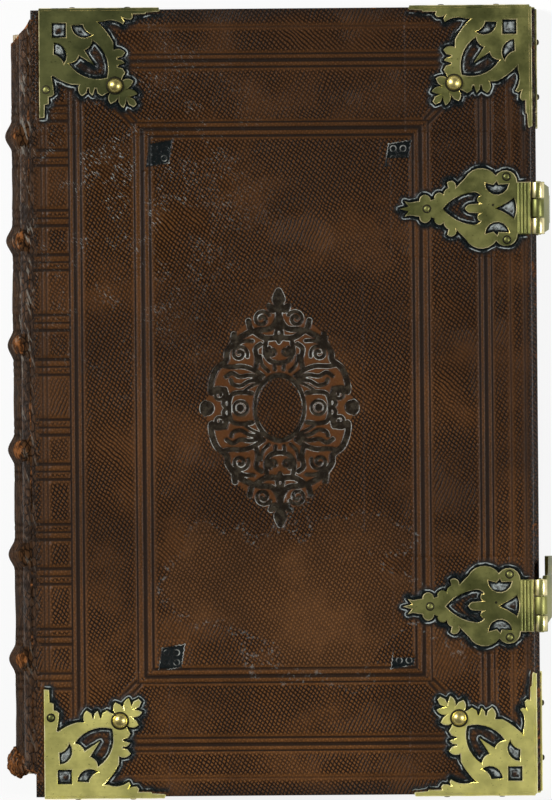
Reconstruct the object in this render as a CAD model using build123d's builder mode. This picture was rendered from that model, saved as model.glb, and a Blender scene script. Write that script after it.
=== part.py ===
from build123d import *
import os
from math import asin, cos, degrees, pi, radians, sin

os.makedirs("parts", exist_ok=True)

# Boards and their leather, measured over the leather
board_height = 400.0
front_width = 254.0
back_extra = 2.0  # the back board stands this far past the front one at the fore edge
wood_thick = 9.0
leather_thick = 1.2
turn_in_thick = 0.6
turn_in_width = 22.0
paste_thick = 0.4
paste_gap = 0.3
edge_round = 0.9
joint_gap = 0.3  # between a board's back edge and the joint line

# Leaves
text_thick = 74.0
head_square = 12.0  # how far the boards stand past the leaves at head and tail
fore_square = 7.0
fore_hollow = 8.0
leaf_gap = 0.3

# Spine, with the leather torn short at head and tail
spine_bulge = 11.3
shoulder_round = 6.0
spine_gap = 0.2
head_loss_at_joint = 4.0
head_loss_at_middle = 16.0
tail_loss_at_joint = 10.0
tail_loss_at_middle = 19.0
band_count = 6
band_pitch = 53.2
band_shift = 3.3
band_width = 16.0
band_sink = 0.3  # the bands die away this far under the boards' faces
band_rise = 3.3
band_shoulder = 0.75  # share of the rise at the shoulder of a band

# Blind tooling on both covers
tool_depth = 0.4
fillet_width = 1.2
fillet_gap = 3.6  # between the two lines of a fillet
frame_inset_x = 23.0
frame_inset_y = 26.0
panel_inset_x = 58.0
panel_inset_y = 61.5
fleuron_inset = 8.5
fleuron_width = 11.0
fleuron_height = 14.0
medallion_width = 79.0
medallion_height = 120.0
oval_width = 27.4
oval_height = 35.2
oval_facets = 16
lobe_facets = 3  # in each lobe of an outline

# Corner pieces
brass_thick = 1.2
brass_inset = 4.5  # from the joint line to the brass
arm_length = 62.0
arm_width = 6.4
flange_thick = 1.0
flange_depth = 9.0
stud_place = 38.6
stud_radius = 3.7
stud_facets = 12
stud_rim = 0.6
stud_slope_height = 1.8
stud_slope_taper = 20.0
stud_crown_height = 1.0
stud_crown_taper = 52.0

# Clasps
clasp_share = 0.2525  # of the board's height, half of what lies between the clasps
clasp_shift = 3.5  # both clasps sit this far towards the tail
plate_length = 66.8
plate_width = 40.8
hinge_width = 26.6
knuckle_radius = 3.4
knuckle_gap = 0.3
middle_knuckle = 9.0
pin_radius = 1.5
pin_fit = 0.02
pin_play = 0.08
pin_proud = 0.3
pin_drop = 1.0  # the pin's axis lies this far under the cover's face
reeded_share = 0.103  # of the plate's length
reed_count = 3
reed_width = 0.9
reed_depth = 0.4
clasp_thick = 2.2
clasp_width = 25.0
clasp_neck = 7.0
clasp_waist = 16.0
clasp_foot = 14.0
clasp_shoulder = 7.0  # the clasp stays narrow this far under the pin
clasp_flare = 15.0
clasp_bow = 24.0
clasp_lean = 11.0  # the lower clasp hangs bent this many degrees towards the head
hook_depth = 1.8
hook_height = 2.2
hook_play = 0.4
catch_thick = 1.0
catch_height = 9.0
catch_bar_radius = 1.2
catch_bar_proud = 1.6
catch_bar_length = 18.0
catch_play = 0.3

# Levels, from the worn crowns that the book lies on up to the front cover's face
cover_thick = leather_thick + wood_thick + turn_in_thick
stud_height = stud_rim + stud_slope_height + stud_crown_height
back_face = brass_thick + stud_height
leaves_bottom = back_face + cover_thick + leaf_gap
leaves_top = leaves_bottom + text_thick
front_face = leaves_top + leaf_gap + cover_thick
middle = (front_face + back_face) / 2

# Places across the book, centred between the bands and the clasps' outer faces
pin_out = knuckle_radius + knuckle_gap / 3
hook_at_rest = back_extra + catch_thick + catch_bar_proud + catch_play
clasp_inner = hook_at_rest + hook_depth
clasp_reach = clasp_inner + clasp_thick
joint_x = (spine_bulge + band_rise - front_width - clasp_reach) / 2
fore_x = joint_x + front_width
back_fore_x = fore_x + back_extra
brass_x = joint_x + brass_inset
head_y = board_height / 2
clasp_spread = clasp_share * board_height
pin_x = fore_x + pin_out
pin_z = front_face - pin_drop
catch_z = back_face + cover_thick / 2
clasp_length = pin_z - catch_z + catch_bar_radius + hook_play + hook_height

# The spine's round is one wide arc between two shoulder arcs that end level with the covers
half_rise = (front_face - back_face) / 2
shoulder_rise = half_rise - shoulder_round
wide_radius = (spine_bulge**2 + shoulder_rise**2 - shoulder_round**2) / (2 * (spine_bulge - shoulder_round))
wide_x = joint_x - spine_bulge + wide_radius
wide_half_angle = degrees(asin(shoulder_rise / (wide_radius - shoulder_round)))
spine_axis = Axis((wide_x, 0, middle), (0, 1, 0))
band_places = [band_shift + ((band_count - 1) / 2 - i) * band_pitch for i in range(band_count)]

front_plane = Plane(origin=(joint_x, 0, front_face), x_dir=(1, 0, 0), z_dir=(0, 0, 1))
back_plane = Plane(origin=(joint_x, 0, back_face), x_dir=(1, 0, 0), z_dir=(0, 0, -1))


def write(piece, name):
    piece.part.label = name
    export_step(piece.part, f"parts/{name}.step")


# Points after the start of a facetted lobe that swells from start through by to end
def lobe(start, by, end):
    points = []
    for i in range(1, lobe_facets + 1):
        t = i / lobe_facets
        shares = ((1 - t) * (1 - 2 * t), 4 * t * (1 - t), t * (2 * t - 1))
        points.append(tuple(sum(f * p[axis] for f, p in zip(shares, (start, by, end))) for axis in (0, 1)))
    return points


# Outline given as corner points and as lobes, each lobe as the pair of points it goes through and to
def outline(*steps):
    points = []
    for step in steps:
        if isinstance(step[0], tuple):
            points += lobe(points[-1], *step)
        else:
            points.append(step)
    return points


def stretched(points, along, across):
    return [(u * along, v * across) for u, v in points]


# The back of the leaves or of the leather, as a line from joint to joint, sunk below the outer face
def spine_line(sunk):
    shoulder = shoulder_round - sunk
    wide = wide_radius - sunk
    rise = half_rise - sunk
    tilt = radians(wide_half_angle)
    meet_x = wide_x - wide * cos(tilt)
    meet_z = wide * sin(tilt)
    turn = radians((90 + wide_half_angle) / 2)
    half_x = joint_x - shoulder * cos(turn)
    half_z = shoulder_rise + shoulder * sin(turn)
    ThreePointArc((joint_x, middle + rise), (half_x, middle + half_z), (meet_x, middle + meet_z))
    ThreePointArc((meet_x, middle + meet_z), (wide_x - wide, middle), (meet_x, middle - meet_z))
    ThreePointArc((meet_x, middle - meet_z), (half_x, middle - half_z), (joint_x, middle - rise))


section = Plane(origin=(0, 0, 0), x_dir=(1, 0, 0), z_dir=(0, -1, 0))


# Leaves: rounded back with shoulders that the boards sit against, and a hollow fore edge
text_sunk = leather_thick + spine_gap
text_fore_x = fore_x - fore_square
with BuildPart() as text_block:
    with BuildSketch(section):
        with BuildLine():
            spine_line(text_sunk)
            Polyline(
                (joint_x, middle - half_rise + text_sunk),
                (joint_x, leaves_bottom),
                (text_fore_x, leaves_bottom),
            )
            ThreePointArc(
                (text_fore_x, leaves_bottom),
                (text_fore_x - fore_hollow, middle),
                (text_fore_x, leaves_top),
            )
            Polyline(
                (text_fore_x, leaves_top),
                (joint_x, leaves_top),
                (joint_x, middle + half_rise - text_sunk),
            )
        make_face()
    extrude(amount=head_y - head_square, both=True)
write(text_block, "text_block")


# Leather of the spine, torn away in a curve at head and tail, with raised bands
def spine_core(sunk):
    with BuildSketch(section) as core:
        with BuildLine():
            spine_line(sunk)
            Line((joint_x, middle - half_rise + sunk), (joint_x, middle + half_rise - sunk))
        make_face()
    return core.sketch


def torn_end(end_y, loss_at_joint, loss_at_middle):
    beyond = end_y * 1.1
    side = 1 if end_y > 0 else -1
    joint_end = end_y - side * loss_at_joint
    with BuildSketch(Plane.YZ.offset(joint_x)) as torn:
        with BuildLine():
            ThreePointArc(
                (joint_end, front_face),
                (end_y - side * loss_at_middle, middle),
                (joint_end, back_face),
            )
            Polyline(
                (joint_end, back_face),
                (beyond, back_face),
                (beyond, front_face),
                (joint_end, front_face),
            )
        make_face()
    return torn.sketch


def band_plane(place):
    return Plane(origin=(wide_x, place, middle), x_dir=(-1, 0, 0), z_dir=(0, 0, 1))


band_reach = degrees(asin(half_rise / wide_radius)) + 1
band_base = wide_radius - spine_bulge / 2
band_level = half_rise - band_sink
with BuildPart() as spine_leather:
    for place in band_places:
        with BuildSketch(band_plane(place), mode=Mode.PRIVATE) as rib:
            Polygon(
                (band_base, -band_width / 2),
                (wide_radius, -band_width / 2),
                (wide_radius + band_shoulder * band_rise, -band_width / 4),
                (wide_radius + band_rise, 0),
                (wide_radius + band_shoulder * band_rise, band_width / 4),
                (wide_radius, band_width / 2),
                (band_base, band_width / 2),
                align=None,
            )
        revolve(rib.sketch, axis=spine_axis, revolution_arc=band_reach)
        revolve(rib.sketch, axis=spine_axis, revolution_arc=-band_reach)
    split(bisect_by=Plane(origin=(0, 0, middle + band_level), z_dir=(0, 0, -1)), keep=Keep.TOP)
    split(bisect_by=Plane(origin=(0, 0, middle - band_level), z_dir=(0, 0, 1)), keep=Keep.TOP)
    split(bisect_by=Plane(origin=(joint_x, 0, 0), z_dir=(-1, 0, 0)), keep=Keep.TOP)
    extrude(spine_core(0), amount=head_y, both=True)
    extrude(spine_core(leather_thick), amount=head_y, both=True, mode=Mode.SUBTRACT)
    for torn in (
        torn_end(head_y, head_loss_at_joint, head_loss_at_middle),
        torn_end(-head_y, tail_loss_at_joint, tail_loss_at_middle),
    ):
        extrude(torn, amount=-2 * spine_bulge, mode=Mode.SUBTRACT)
write(spine_leather, "spine_leather")


# Stamped medallion: a lobed outline, drawn by quarters, round a plain oval
medallion_quarter = outline(
    (0, 1),
    ((0.18, 0.95), (0.20, 0.82)),
    ((0.46, 0.80), (0.50, 0.62)),
    ((0.80, 0.57), (0.76, 0.35)),
    ((0.95, 0.27), (0.85, 0.12)),
    ((0.96, 0.09), (1, 0)),
)
medallion_half = medallion_quarter + [(x, -y) for x, y in medallion_quarter[-2::-1]]
medallion_round = medallion_half + [(-x, y) for x, y in medallion_half[-2:0:-1]]
oval_round = [(cos(2 * pi * i / oval_facets), sin(2 * pi * i / oval_facets)) for i in range(oval_facets)]


def medallion():
    Polygon(*stretched(medallion_round, medallion_width / 2, medallion_height / 2), align=None)
    Polygon(*stretched(oval_round, oval_width / 2, oval_height / 2), align=None, mode=Mode.SUBTRACT)


# Leather of one cover: the face, three edges and the turn-ins, with lines and ornament pressed into the face
def cover_leather(face, width):
    across = width / 2
    with BuildPart() as skin:
        with BuildSketch(face.offset(-cover_thick)):
            with Locations((joint_gap, 0)):
                Rectangle(width - joint_gap, board_height, align=(Align.MIN, Align.CENTER))
        extrude(amount=cover_thick)
        rim = skin.faces().sort_by(Axis(face.origin, face.z_dir))[-1].edges().sort_by(Axis.X)[1:]
        fillet(rim, edge_round)
        with BuildSketch(face.offset(-leather_thick - wood_thick)):
            with Locations((joint_gap, 0)):
                Rectangle(
                    width - joint_gap - leather_thick,
                    board_height - 2 * leather_thick,
                    align=(Align.MIN, Align.CENTER),
                )
        extrude(amount=wood_thick, mode=Mode.SUBTRACT)
        with BuildSketch(face.offset(-cover_thick)):
            with Locations((joint_gap, 0)):
                Rectangle(
                    width - joint_gap - turn_in_width,
                    board_height - 2 * turn_in_width,
                    align=(Align.MIN, Align.CENTER),
                )
        extrude(amount=turn_in_thick, mode=Mode.SUBTRACT)
        with BuildSketch(face):
            for inset_x, inset_y in ((frame_inset_x, frame_inset_y), (panel_inset_x, panel_inset_y)):
                for step in (0, fillet_gap):
                    line_w = width - 2 * (inset_x + step)
                    line_h = board_height - 2 * (inset_y + step)
                    with Locations((across, 0)):
                        Rectangle(line_w, line_h)
                        Rectangle(line_w - 2 * fillet_width, line_h - 2 * fillet_width, mode=Mode.SUBTRACT)
        extrude(amount=-tool_depth, mode=Mode.SUBTRACT)
        with BuildSketch(face):
            for sign_x in (-1, 1):
                for sign_y in (-1, 1):
                    with BuildLine():
                        Line(
                            (
                                across + sign_x * (across - frame_inset_x - fillet_gap),
                                sign_y * (head_y - frame_inset_y - fillet_gap),
                            ),
                            (
                                across + sign_x * (across - panel_inset_x - fillet_width),
                                sign_y * (head_y - panel_inset_y - fillet_width),
                            ),
                        )
                    trace(line_width=fillet_width)
            with Locations((across, 0)):
                medallion()
            fleuron_x = across - panel_inset_x - fillet_gap - fleuron_inset
            fleuron_y = head_y - panel_inset_y - fillet_gap - fleuron_inset
            with Locations([(across + i * fleuron_x, j * fleuron_y) for i in (-1, 1) for j in (-1, 1)]):
                Polygon(
                    (fleuron_width / 2, 0),
                    (0, fleuron_height / 2),
                    (-fleuron_width / 2, 0),
                    (0, -fleuron_height / 2),
                )
        extrude(amount=-tool_depth, mode=Mode.SUBTRACT)
    return skin


# Wooden board that fills the leather
def wooden_board(face, width):
    with BuildPart() as board:
        with BuildSketch(face.offset(-leather_thick - wood_thick)):
            with Locations((joint_gap, 0)):
                Rectangle(
                    width - joint_gap - leather_thick,
                    board_height - 2 * leather_thick,
                    align=(Align.MIN, Align.CENTER),
                )
        extrude(amount=wood_thick)
    return board


# Paper pasted to the inside of a board, within the turn-ins
def pastedown(face, width):
    with BuildPart() as sheet:
        with BuildSketch(face.offset(-leather_thick - wood_thick - paste_thick)):
            with Locations((joint_gap + paste_gap, 0)):
                Rectangle(
                    width - joint_gap - turn_in_width - 2 * paste_gap,
                    board_height - 2 * turn_in_width - 2 * paste_gap,
                    align=(Align.MIN, Align.CENTER),
                )
        extrude(amount=paste_thick)
    return sheet


for side, face, width in (
    ("front", front_plane, front_width),
    ("back", back_plane, front_width + back_extra),
):
    write(cover_leather(face, width), f"{side}_cover_leather")
    write(wooden_board(face, width), f"{side}_board")
    write(pastedown(face, width), f"{side}_pastedown")


# Corner piece in arm lengths, from its corner along one arm and back to the leaf on the diagonal
corner_half = outline(
    (0, 0),
    (0.984, 0),
    (1.0, 0.018),
    (0.984, 0.036),
    (0.895, 0.032),
    (0.815, 0.068),
    (0.790, 0.048),
    (0.735, 0.126),
    (0.706, arm_width / arm_length),
    (0.500, arm_width / arm_length),
    ((0.594, 0.203), (0.619, 0.347)),
    ((0.703, 0.365), (0.700, 0.442)),
    ((0.742, 0.482), (0.671, 0.540)),
    ((0.756, 0.577), (0.732, 0.652)),
    ((0.813, 0.682), (0.761, 0.747)),
    ((0.812, 0.765), (0.813, 0.813)),
)
corner_leaf = outline(
    (0.290, 0.135),
    (0.405, 0.135),
    ((0.415, 0.187), (0.452, 0.226)),
    ((0.347, 0.219), (0.290, 0.135)),
)[:-1]
corner_heart = outline(
    (0.473, 0.473),
    (0.387, 0.339),
    (0.439, 0.281),
    ((0.548, 0.365), (0.552, 0.552)),
)
corner_square_place = 0.186
corner_square = 0.113


def swapped(points):
    return [(v, u) for u, v in points]


# Plate of a corner piece, pierced by a square, a leaf beside each arm and a heart with a tongue
def pierced_corner():
    for loop, mode in (
        (corner_half + swapped(corner_half[-2:0:-1]), Mode.ADD),
        (corner_leaf, Mode.SUBTRACT),
        (swapped(corner_leaf), Mode.SUBTRACT),
        (corner_heart + swapped(corner_heart[-2:0:-1]), Mode.SUBTRACT),
    ):
        Polygon(*stretched(loop, arm_length, arm_length), align=None, mode=mode)
    with Locations((corner_square_place * arm_length, corner_square_place * arm_length)):
        Rectangle(corner_square * arm_length, corner_square * arm_length, mode=Mode.SUBTRACT)


# Strips of a corner piece that are folded over the board's edges at u = 0 and v = 0
def folded_strips(over_u, over_v):
    if over_u:
        Rectangle(flange_thick, arm_length, align=(Align.MAX, Align.MIN))
    if over_v:
        Rectangle(arm_length, flange_thick, align=(Align.MIN, Align.MAX))
    if over_u and over_v:
        Rectangle(flange_thick, flange_thick, align=(Align.MAX, Align.MAX))


def corner_piece(plane, over_u, over_v):
    with BuildPart() as piece:
        with BuildSketch(plane):
            pierced_corner()
            folded_strips(over_u, over_v)
        extrude(amount=brass_thick)
        with BuildSketch(plane.offset(-flange_depth)):
            folded_strips(over_u, over_v)
        extrude(amount=flange_depth)
    return piece


def corner_plane(x, y, z, along, outward):
    return Plane(origin=(x, y, z), x_dir=along, z_dir=(0, 0, outward))


# Name, place and folds of each corner piece; the board's head or tail edge is at u = 0 or at v = 0
front_corners = [
    ("front_head_spine_corner", corner_plane(brass_x, head_y, front_face, (0, -1, 0), 1), True, False),
    ("front_head_fore_corner", corner_plane(fore_x, head_y, front_face, (-1, 0, 0), 1), True, True),
    ("front_tail_fore_corner", corner_plane(fore_x, -head_y, front_face, (0, 1, 0), 1), True, True),
    ("front_tail_spine_corner", corner_plane(brass_x, -head_y, front_face, (1, 0, 0), 1), False, True),
]
back_corners = [
    ("back_head_spine_corner", corner_plane(brass_x, head_y, back_face, (1, 0, 0), -1), False, True),
    ("back_head_fore_corner", corner_plane(back_fore_x, head_y, back_face, (0, -1, 0), -1), True, True),
    ("back_tail_fore_corner", corner_plane(back_fore_x, -head_y, back_face, (-1, 0, 0), -1), True, True),
    ("back_tail_spine_corner", corner_plane(brass_x, -head_y, back_face, (0, 1, 0), -1), True, False),
]
for name, plane, over_u, over_v in front_corners + back_corners:
    write(corner_piece(plane, over_u, over_v), name)


# Domed studs on the corner pieces, worn flat on their crowns
def corner_studs(corners):
    stages = ((stud_rim, 0), (stud_slope_height, stud_slope_taper), (stud_crown_height, stud_crown_taper))
    with BuildPart() as studs:
        for name, plane, over_u, over_v in corners:
            foot = plane.from_local_coords((stud_place, stud_place, brass_thick))
            with BuildSketch(Plane(origin=foot, z_dir=plane.z_dir), mode=Mode.PRIVATE) as rim:
                RegularPolygon(radius=stud_radius, side_count=stud_facets)
            top = rim.sketch
            for height, taper in stages:
                extrude(top, amount=height, taper=taper)
                top = studs.faces(Select.LAST).sort_by(Axis(foot, plane.z_dir))[-1]
    return studs


write(corner_studs(front_corners), "front_corner_studs")
write(corner_studs(back_corners), "back_corner_studs")


# A clasp's plate lies on the front cover, measured inwards from the fore edge and across from its middle
def plate_plane(clasp_y):
    return Plane(origin=(fore_x, clasp_y, front_face), x_dir=(-1, 0, 0), z_dir=(0, 0, 1))


# Half of a clasp's plate, in plate lengths and half widths, from the hinge to the tip
plate_half = outline(
    (0, hinge_width / plate_width),
    (reeded_share, hinge_width / plate_width),
    ((0.192, 0.941), (0.269, 0.804)),
    ((0.389, 1.0), (0.501, 0.755)),
    (0.567, 0.539),
    ((0.626, 0.667), (0.653, 0.373)),
    ((0.719, 0.412), (0.763, 0.245)),
    ((0.823, 0.343), (0.856, 0.157)),
    (0.952, 0.167),
    (0.922, 0.078),
    (1, 0),
)
plate_heart = outline(
    (0.693, 0),
    ((0.578, 0.324), (0.464, 0.480)),
    ((0.398, 0.451), (0.392, 0.245)),
    (0.413, 0.108),
    (0.500, 0),
)
plate_moon = outline(
    (0.163, 0.618),
    ((0.257, 0.667), (0.353, 0.627)),
    ((0.257, 0.324), (0.163, 0.618)),
)[:-1]
plate_triangle = [(0.259, 0), (0.118, 0.275), (0.118, -0.275)]


def flipped(points):
    return [(u, -v) for u, v in points]


# Plate of a clasp, pierced by a heart with a tongue, two half moons and a triangle
def pierced_plate():
    for loop, mode in (
        (plate_half + flipped(plate_half[-2::-1]), Mode.ADD),
        (plate_heart + flipped(plate_heart[-2:0:-1]), Mode.SUBTRACT),
        (plate_moon, Mode.SUBTRACT),
        (flipped(plate_moon), Mode.SUBTRACT),
        (plate_triangle, Mode.SUBTRACT),
    ):
        Polygon(*stretched(loop, plate_length, plate_width / 2), align=None, mode=mode)


def pin_plane(clasp_y):
    return Plane(origin=(pin_x, clasp_y, pin_z), x_dir=(1, 0, 0), z_dir=(0, 1, 0))


# Clasp plate: pierced, reeded beside the hinge, and rolled into the two outer knuckles
def clasp_plate(clasp_y):
    plane = plate_plane(clasp_y)
    half_middle = middle_knuckle / 2 + knuckle_gap
    outer_knuckle = hinge_width / 2 - half_middle
    reed_pitch = reeded_share * plate_length / reed_count
    with BuildPart() as plate:
        with BuildSketch(plane):
            pierced_plate()
            for side in (1, -1):
                with Locations((-pin_out / 2, side * (half_middle + outer_knuckle / 2))):
                    Rectangle(pin_out, outer_knuckle)
        extrude(amount=brass_thick)
        with BuildSketch(plane.offset(brass_thick)):
            for i in range(reed_count):
                with Locations(((i + 0.5) * reed_pitch, 0)):
                    Rectangle(reed_width, hinge_width)
        extrude(amount=-reed_depth, mode=Mode.SUBTRACT)
        for side in (1, -1):
            with BuildSketch(pin_plane(clasp_y + side * (half_middle + outer_knuckle / 2))):
                Circle(knuckle_radius)
            extrude(amount=outer_knuckle / 2, both=True)
        with BuildSketch(pin_plane(clasp_y)):
            Circle(pin_radius + pin_fit)
        extrude(amount=hinge_width, both=True, mode=Mode.SUBTRACT)
    return plate


# Hinge pin, a little proud of the knuckles at both ends
def hinge_pin(clasp_y):
    with BuildPart() as pin:
        with BuildSketch(pin_plane(clasp_y)):
            Circle(pin_radius)
        extrude(amount=hinge_width / 2 + pin_proud, both=True)
    return pin


# Clasp: hangs from its knuckle, stands out past the catch and ends in a hook; lean bends it sideways
def clasp_arm(clasp_y, lean):
    tilt = radians(lean)
    sideways = (0, cos(tilt), sin(tilt))
    front_view = Plane(origin=(pin_x, clasp_y, pin_z), x_dir=sideways, z_dir=(1, 0, 0))
    side_view = Plane(origin=(pin_x, clasp_y, pin_z), x_dir=(1, 0, 0), z_dir=(0, -cos(tilt), -sin(tilt)))
    inner = clasp_inner - pin_out
    half = clasp_thick / 2
    with BuildPart() as arm:
        with BuildSketch(side_view):
            Polygon(
                (-half, 0),
                (-half, -clasp_shoulder),
                (inner, -clasp_bow),
                (inner, hook_height - clasp_length),
                (inner - hook_depth, hook_height - clasp_length),
                (inner - hook_depth, -clasp_length),
                (inner + clasp_thick, -clasp_length),
                (inner + clasp_thick, -clasp_bow),
                (half, -clasp_shoulder),
                (half, 0),
                align=None,
            )
        extrude(amount=clasp_width / 2, both=True)
        with BuildSketch(front_view):
            with BuildLine():
                Polyline(
                    (0, 0),
                    (clasp_neck / 2, 0),
                    (clasp_neck / 2, -clasp_shoulder),
                    (clasp_width / 2, -clasp_flare),
                )
                ThreePointArc(
                    (clasp_width / 2, -clasp_flare),
                    (clasp_waist / 2, -clasp_length / 2),
                    (clasp_foot / 2, hook_height - clasp_length),
                )
                Polyline(
                    (clasp_foot / 2, hook_height - clasp_length),
                    (clasp_foot / 2, -clasp_length),
                    (0, -clasp_length),
                )
                mirror(about=Plane.YZ)
            make_face()
        extrude(amount=clasp_reach, both=True, mode=Mode.INTERSECT)
        with BuildSketch(pin_plane(clasp_y)):
            Circle(knuckle_radius)
        extrude(amount=middle_knuckle / 2, both=True)
        with BuildSketch(pin_plane(clasp_y)):
            Circle(pin_radius + pin_play)
        extrude(amount=clasp_width, both=True, mode=Mode.SUBTRACT)
    return arm


# Catch on the back board's fore edge: a plate with the bar that the hook goes under
def catch_plate(clasp_y):
    edge = Plane(origin=(back_fore_x, clasp_y, catch_z), x_dir=(0, 1, 0), z_dir=(1, 0, 0))
    bar_out = catch_thick + catch_bar_proud - catch_bar_radius
    bar = Plane(origin=(back_fore_x + bar_out, clasp_y, catch_z), x_dir=(1, 0, 0), z_dir=(0, 1, 0))
    with BuildPart() as catch:
        with BuildSketch(edge):
            Rectangle(hinge_width, catch_height)
        extrude(amount=catch_thick)
        with BuildSketch(bar):
            Circle(catch_bar_radius)
        extrude(amount=catch_bar_length / 2, both=True)
    return catch


clasp_rows = (("upper", clasp_spread - clasp_shift, 0), ("lower", -clasp_spread - clasp_shift, clasp_lean))
for level, clasp_y, lean in clasp_rows:
    write(clasp_plate(clasp_y), f"{level}_clasp_plate")
    write(hinge_pin(clasp_y), f"{level}_clasp_pin")
    write(clasp_arm(clasp_y, lean), f"{level}_clasp_arm")
    write(catch_plate(clasp_y), f"{level}_catch_plate")
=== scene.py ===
import math
import bpy
import bmesh
import numpy as np
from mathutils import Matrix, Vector, kdtree, noise


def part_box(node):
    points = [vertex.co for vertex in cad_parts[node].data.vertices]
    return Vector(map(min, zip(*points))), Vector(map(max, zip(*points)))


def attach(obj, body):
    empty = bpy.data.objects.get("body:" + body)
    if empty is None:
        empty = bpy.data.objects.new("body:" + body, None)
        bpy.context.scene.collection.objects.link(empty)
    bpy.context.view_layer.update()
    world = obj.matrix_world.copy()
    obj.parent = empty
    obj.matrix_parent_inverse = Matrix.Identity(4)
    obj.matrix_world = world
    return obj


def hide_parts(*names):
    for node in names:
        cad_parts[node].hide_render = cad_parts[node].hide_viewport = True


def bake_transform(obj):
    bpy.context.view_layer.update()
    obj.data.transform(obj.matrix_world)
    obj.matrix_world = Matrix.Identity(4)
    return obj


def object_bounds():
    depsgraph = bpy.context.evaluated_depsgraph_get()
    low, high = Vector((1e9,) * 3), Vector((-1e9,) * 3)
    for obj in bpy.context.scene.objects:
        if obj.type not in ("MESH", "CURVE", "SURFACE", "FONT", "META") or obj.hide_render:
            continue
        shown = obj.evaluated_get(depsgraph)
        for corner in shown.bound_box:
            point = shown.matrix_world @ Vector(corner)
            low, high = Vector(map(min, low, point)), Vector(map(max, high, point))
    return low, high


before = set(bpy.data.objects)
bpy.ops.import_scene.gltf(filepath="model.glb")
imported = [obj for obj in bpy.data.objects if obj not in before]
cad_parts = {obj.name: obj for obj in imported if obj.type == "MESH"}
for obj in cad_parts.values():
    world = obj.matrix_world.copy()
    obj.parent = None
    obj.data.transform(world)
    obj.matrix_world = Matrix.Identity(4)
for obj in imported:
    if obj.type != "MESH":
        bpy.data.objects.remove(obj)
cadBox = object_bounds()
mm = 0.001
scene = bpy.context.scene


# where the solids are, read from the frame, in millimetres

def nodeBox(node):
    return tuple(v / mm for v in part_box(node))


frontLo, frontHi = nodeBox("front_cover_leather")
backLo, backHi = nodeBox("back_cover_leather")
jointX = nodeBox("spine_leather")[1].x
headY = frontHi.y
frontZ = frontHi.z
backZ = backLo.z
midZ = (frontZ + backZ) / 2
midHalf = (frontZ - backZ) / 2
coverThick = frontHi.z - frontLo.z
covers = {
    "front": {"z": frontZ, "out": 1, "width": frontHi.x - jointX, "body": "front_cover"},
    "back": {"z": backZ, "out": -1, "width": backHi.x - jointX, "body": "back_cover"},
}
ends, edges, levels = ("head", "tail"), ("spine", "fore"), ("upper", "lower")


# small helpers for meshes

def newPiece(name, mesh):
    piece = bpy.data.objects.new(name, mesh)
    scene.collection.objects.link(piece)
    return piece


def finishPiece(name, points, faces, material, attributes=None, sharpAngle=None):
    mesh = bpy.data.meshes.new(name)
    mesh.from_pydata([tuple(c * mm for c in p) for p in points], [], faces)
    for key, values in (attributes or {}).items():
        layer = mesh.attributes.new(key, "FLOAT", "POINT")
        layer.data.foreach_set("value", np.asarray(values, np.float32))
    mesh.materials.append(material)
    piece = newPiece(name, mesh)
    tidyMesh(mesh)
    mesh.shade_smooth()
    if sharpAngle:
        mesh.set_sharp_from_angle(angle=math.radians(sharpAngle))
    return piece


def tidyMesh(mesh, weld=1e-6, sliver=1e-7):
    bm = bmesh.new()
    bm.from_mesh(mesh)
    bmesh.ops.remove_doubles(bm, verts=bm.verts, dist=weld)
    bmesh.ops.dissolve_degenerate(bm, edges=bm.edges, dist=sliver)
    bmesh.ops.recalc_face_normals(bm, faces=bm.faces)
    bm.to_mesh(mesh)
    bm.free()


def bakedModifiers(piece):  # turns live modifiers into plain mesh
    bpy.context.view_layer.update()
    graph = bpy.context.evaluated_depsgraph_get()
    mesh = bpy.data.meshes.new_from_object(piece.evaluated_get(graph))
    old = piece.data
    piece.modifiers.clear()
    piece.data = mesh
    mesh.name = piece.name
    if old.users == 0:
        bpy.data.meshes.remove(old)
    return piece


def carried(piece, body, node=None):  # what a finished piece is in the frame
    if node:
        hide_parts(node)
    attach(piece, body)
    return piece


def joined(parts):
    points, faces = [], []
    for more, sides in parts:
        faces += [[i + len(points) for i in f] for f in sides]
        points += more
    return points, faces


def joinedPatches(patches):  # the same, for patches that carry traits
    points, faces = joined([p[:2] for p in patches])
    return points, faces, {key: np.concatenate([p[2][key] for p in patches]) for key in patches[0][2]}


def shellFaces(across, count):  # outer and inner layer of a grid of points, closed along its four sides
    row, size = across + 1, (count + 1) * (across + 1)
    faces = []
    for j in range(count):
        for i in range(across):
            k = j * row + i
            faces.append((k, k + row, k + row + 1, k + 1))
            faces.append((size + k, size + k + 1, size + k + row + 1, size + k + row))
        k = j * row
        faces.append((k, size + k, size + k + row, k + row))
        faces.append((k + across, k + across + row, size + k + across + row, size + k + across))
    for i in range(across):
        faces.append((i, i + 1, size + i + 1, size + i))
        k = count * row + i
        faces.append((k, size + k, size + k + 1, k + 1))
    return faces


def smoothstep(low, high, value):
    t = np.clip((value - low) / (high - low), 0, 1)
    return t * t * (3 - 2 * t)


def hump(value, middle, wide):
    return math.exp(-((value - middle) / wide) ** 2)


def roughAt(x, y, z, octaves=3):  # fixed fractal noise
    return noise.fractal(Vector((x, y, z)), 1.0, 2.0, octaves)


def roughness2d(x, y, scale, seed, octaves=3):
    flat = [roughAt(a * scale, b * scale, seed, octaves) for a, b in zip(np.ravel(x), np.ravel(y))]
    return np.reshape(flat, np.shape(x))


# small helpers for shader trees

def newMaterial(name):
    material = bpy.data.materials.new(name)
    material.use_nodes = True
    material.node_tree.nodes.clear()
    return material, material.node_tree


def isSocket(value):
    return isinstance(value, bpy.types.NodeSocket)


def put(tree, kind, inputs=None, **settings):
    made = tree.nodes.new(kind)
    for key, value in settings.items():
        setattr(made, key, value)
    for key, value in (inputs or {}).items():
        if isSocket(value):
            tree.links.new(value, made.inputs[key])
        else:
            made.inputs[key].default_value = value
    return made


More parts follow.
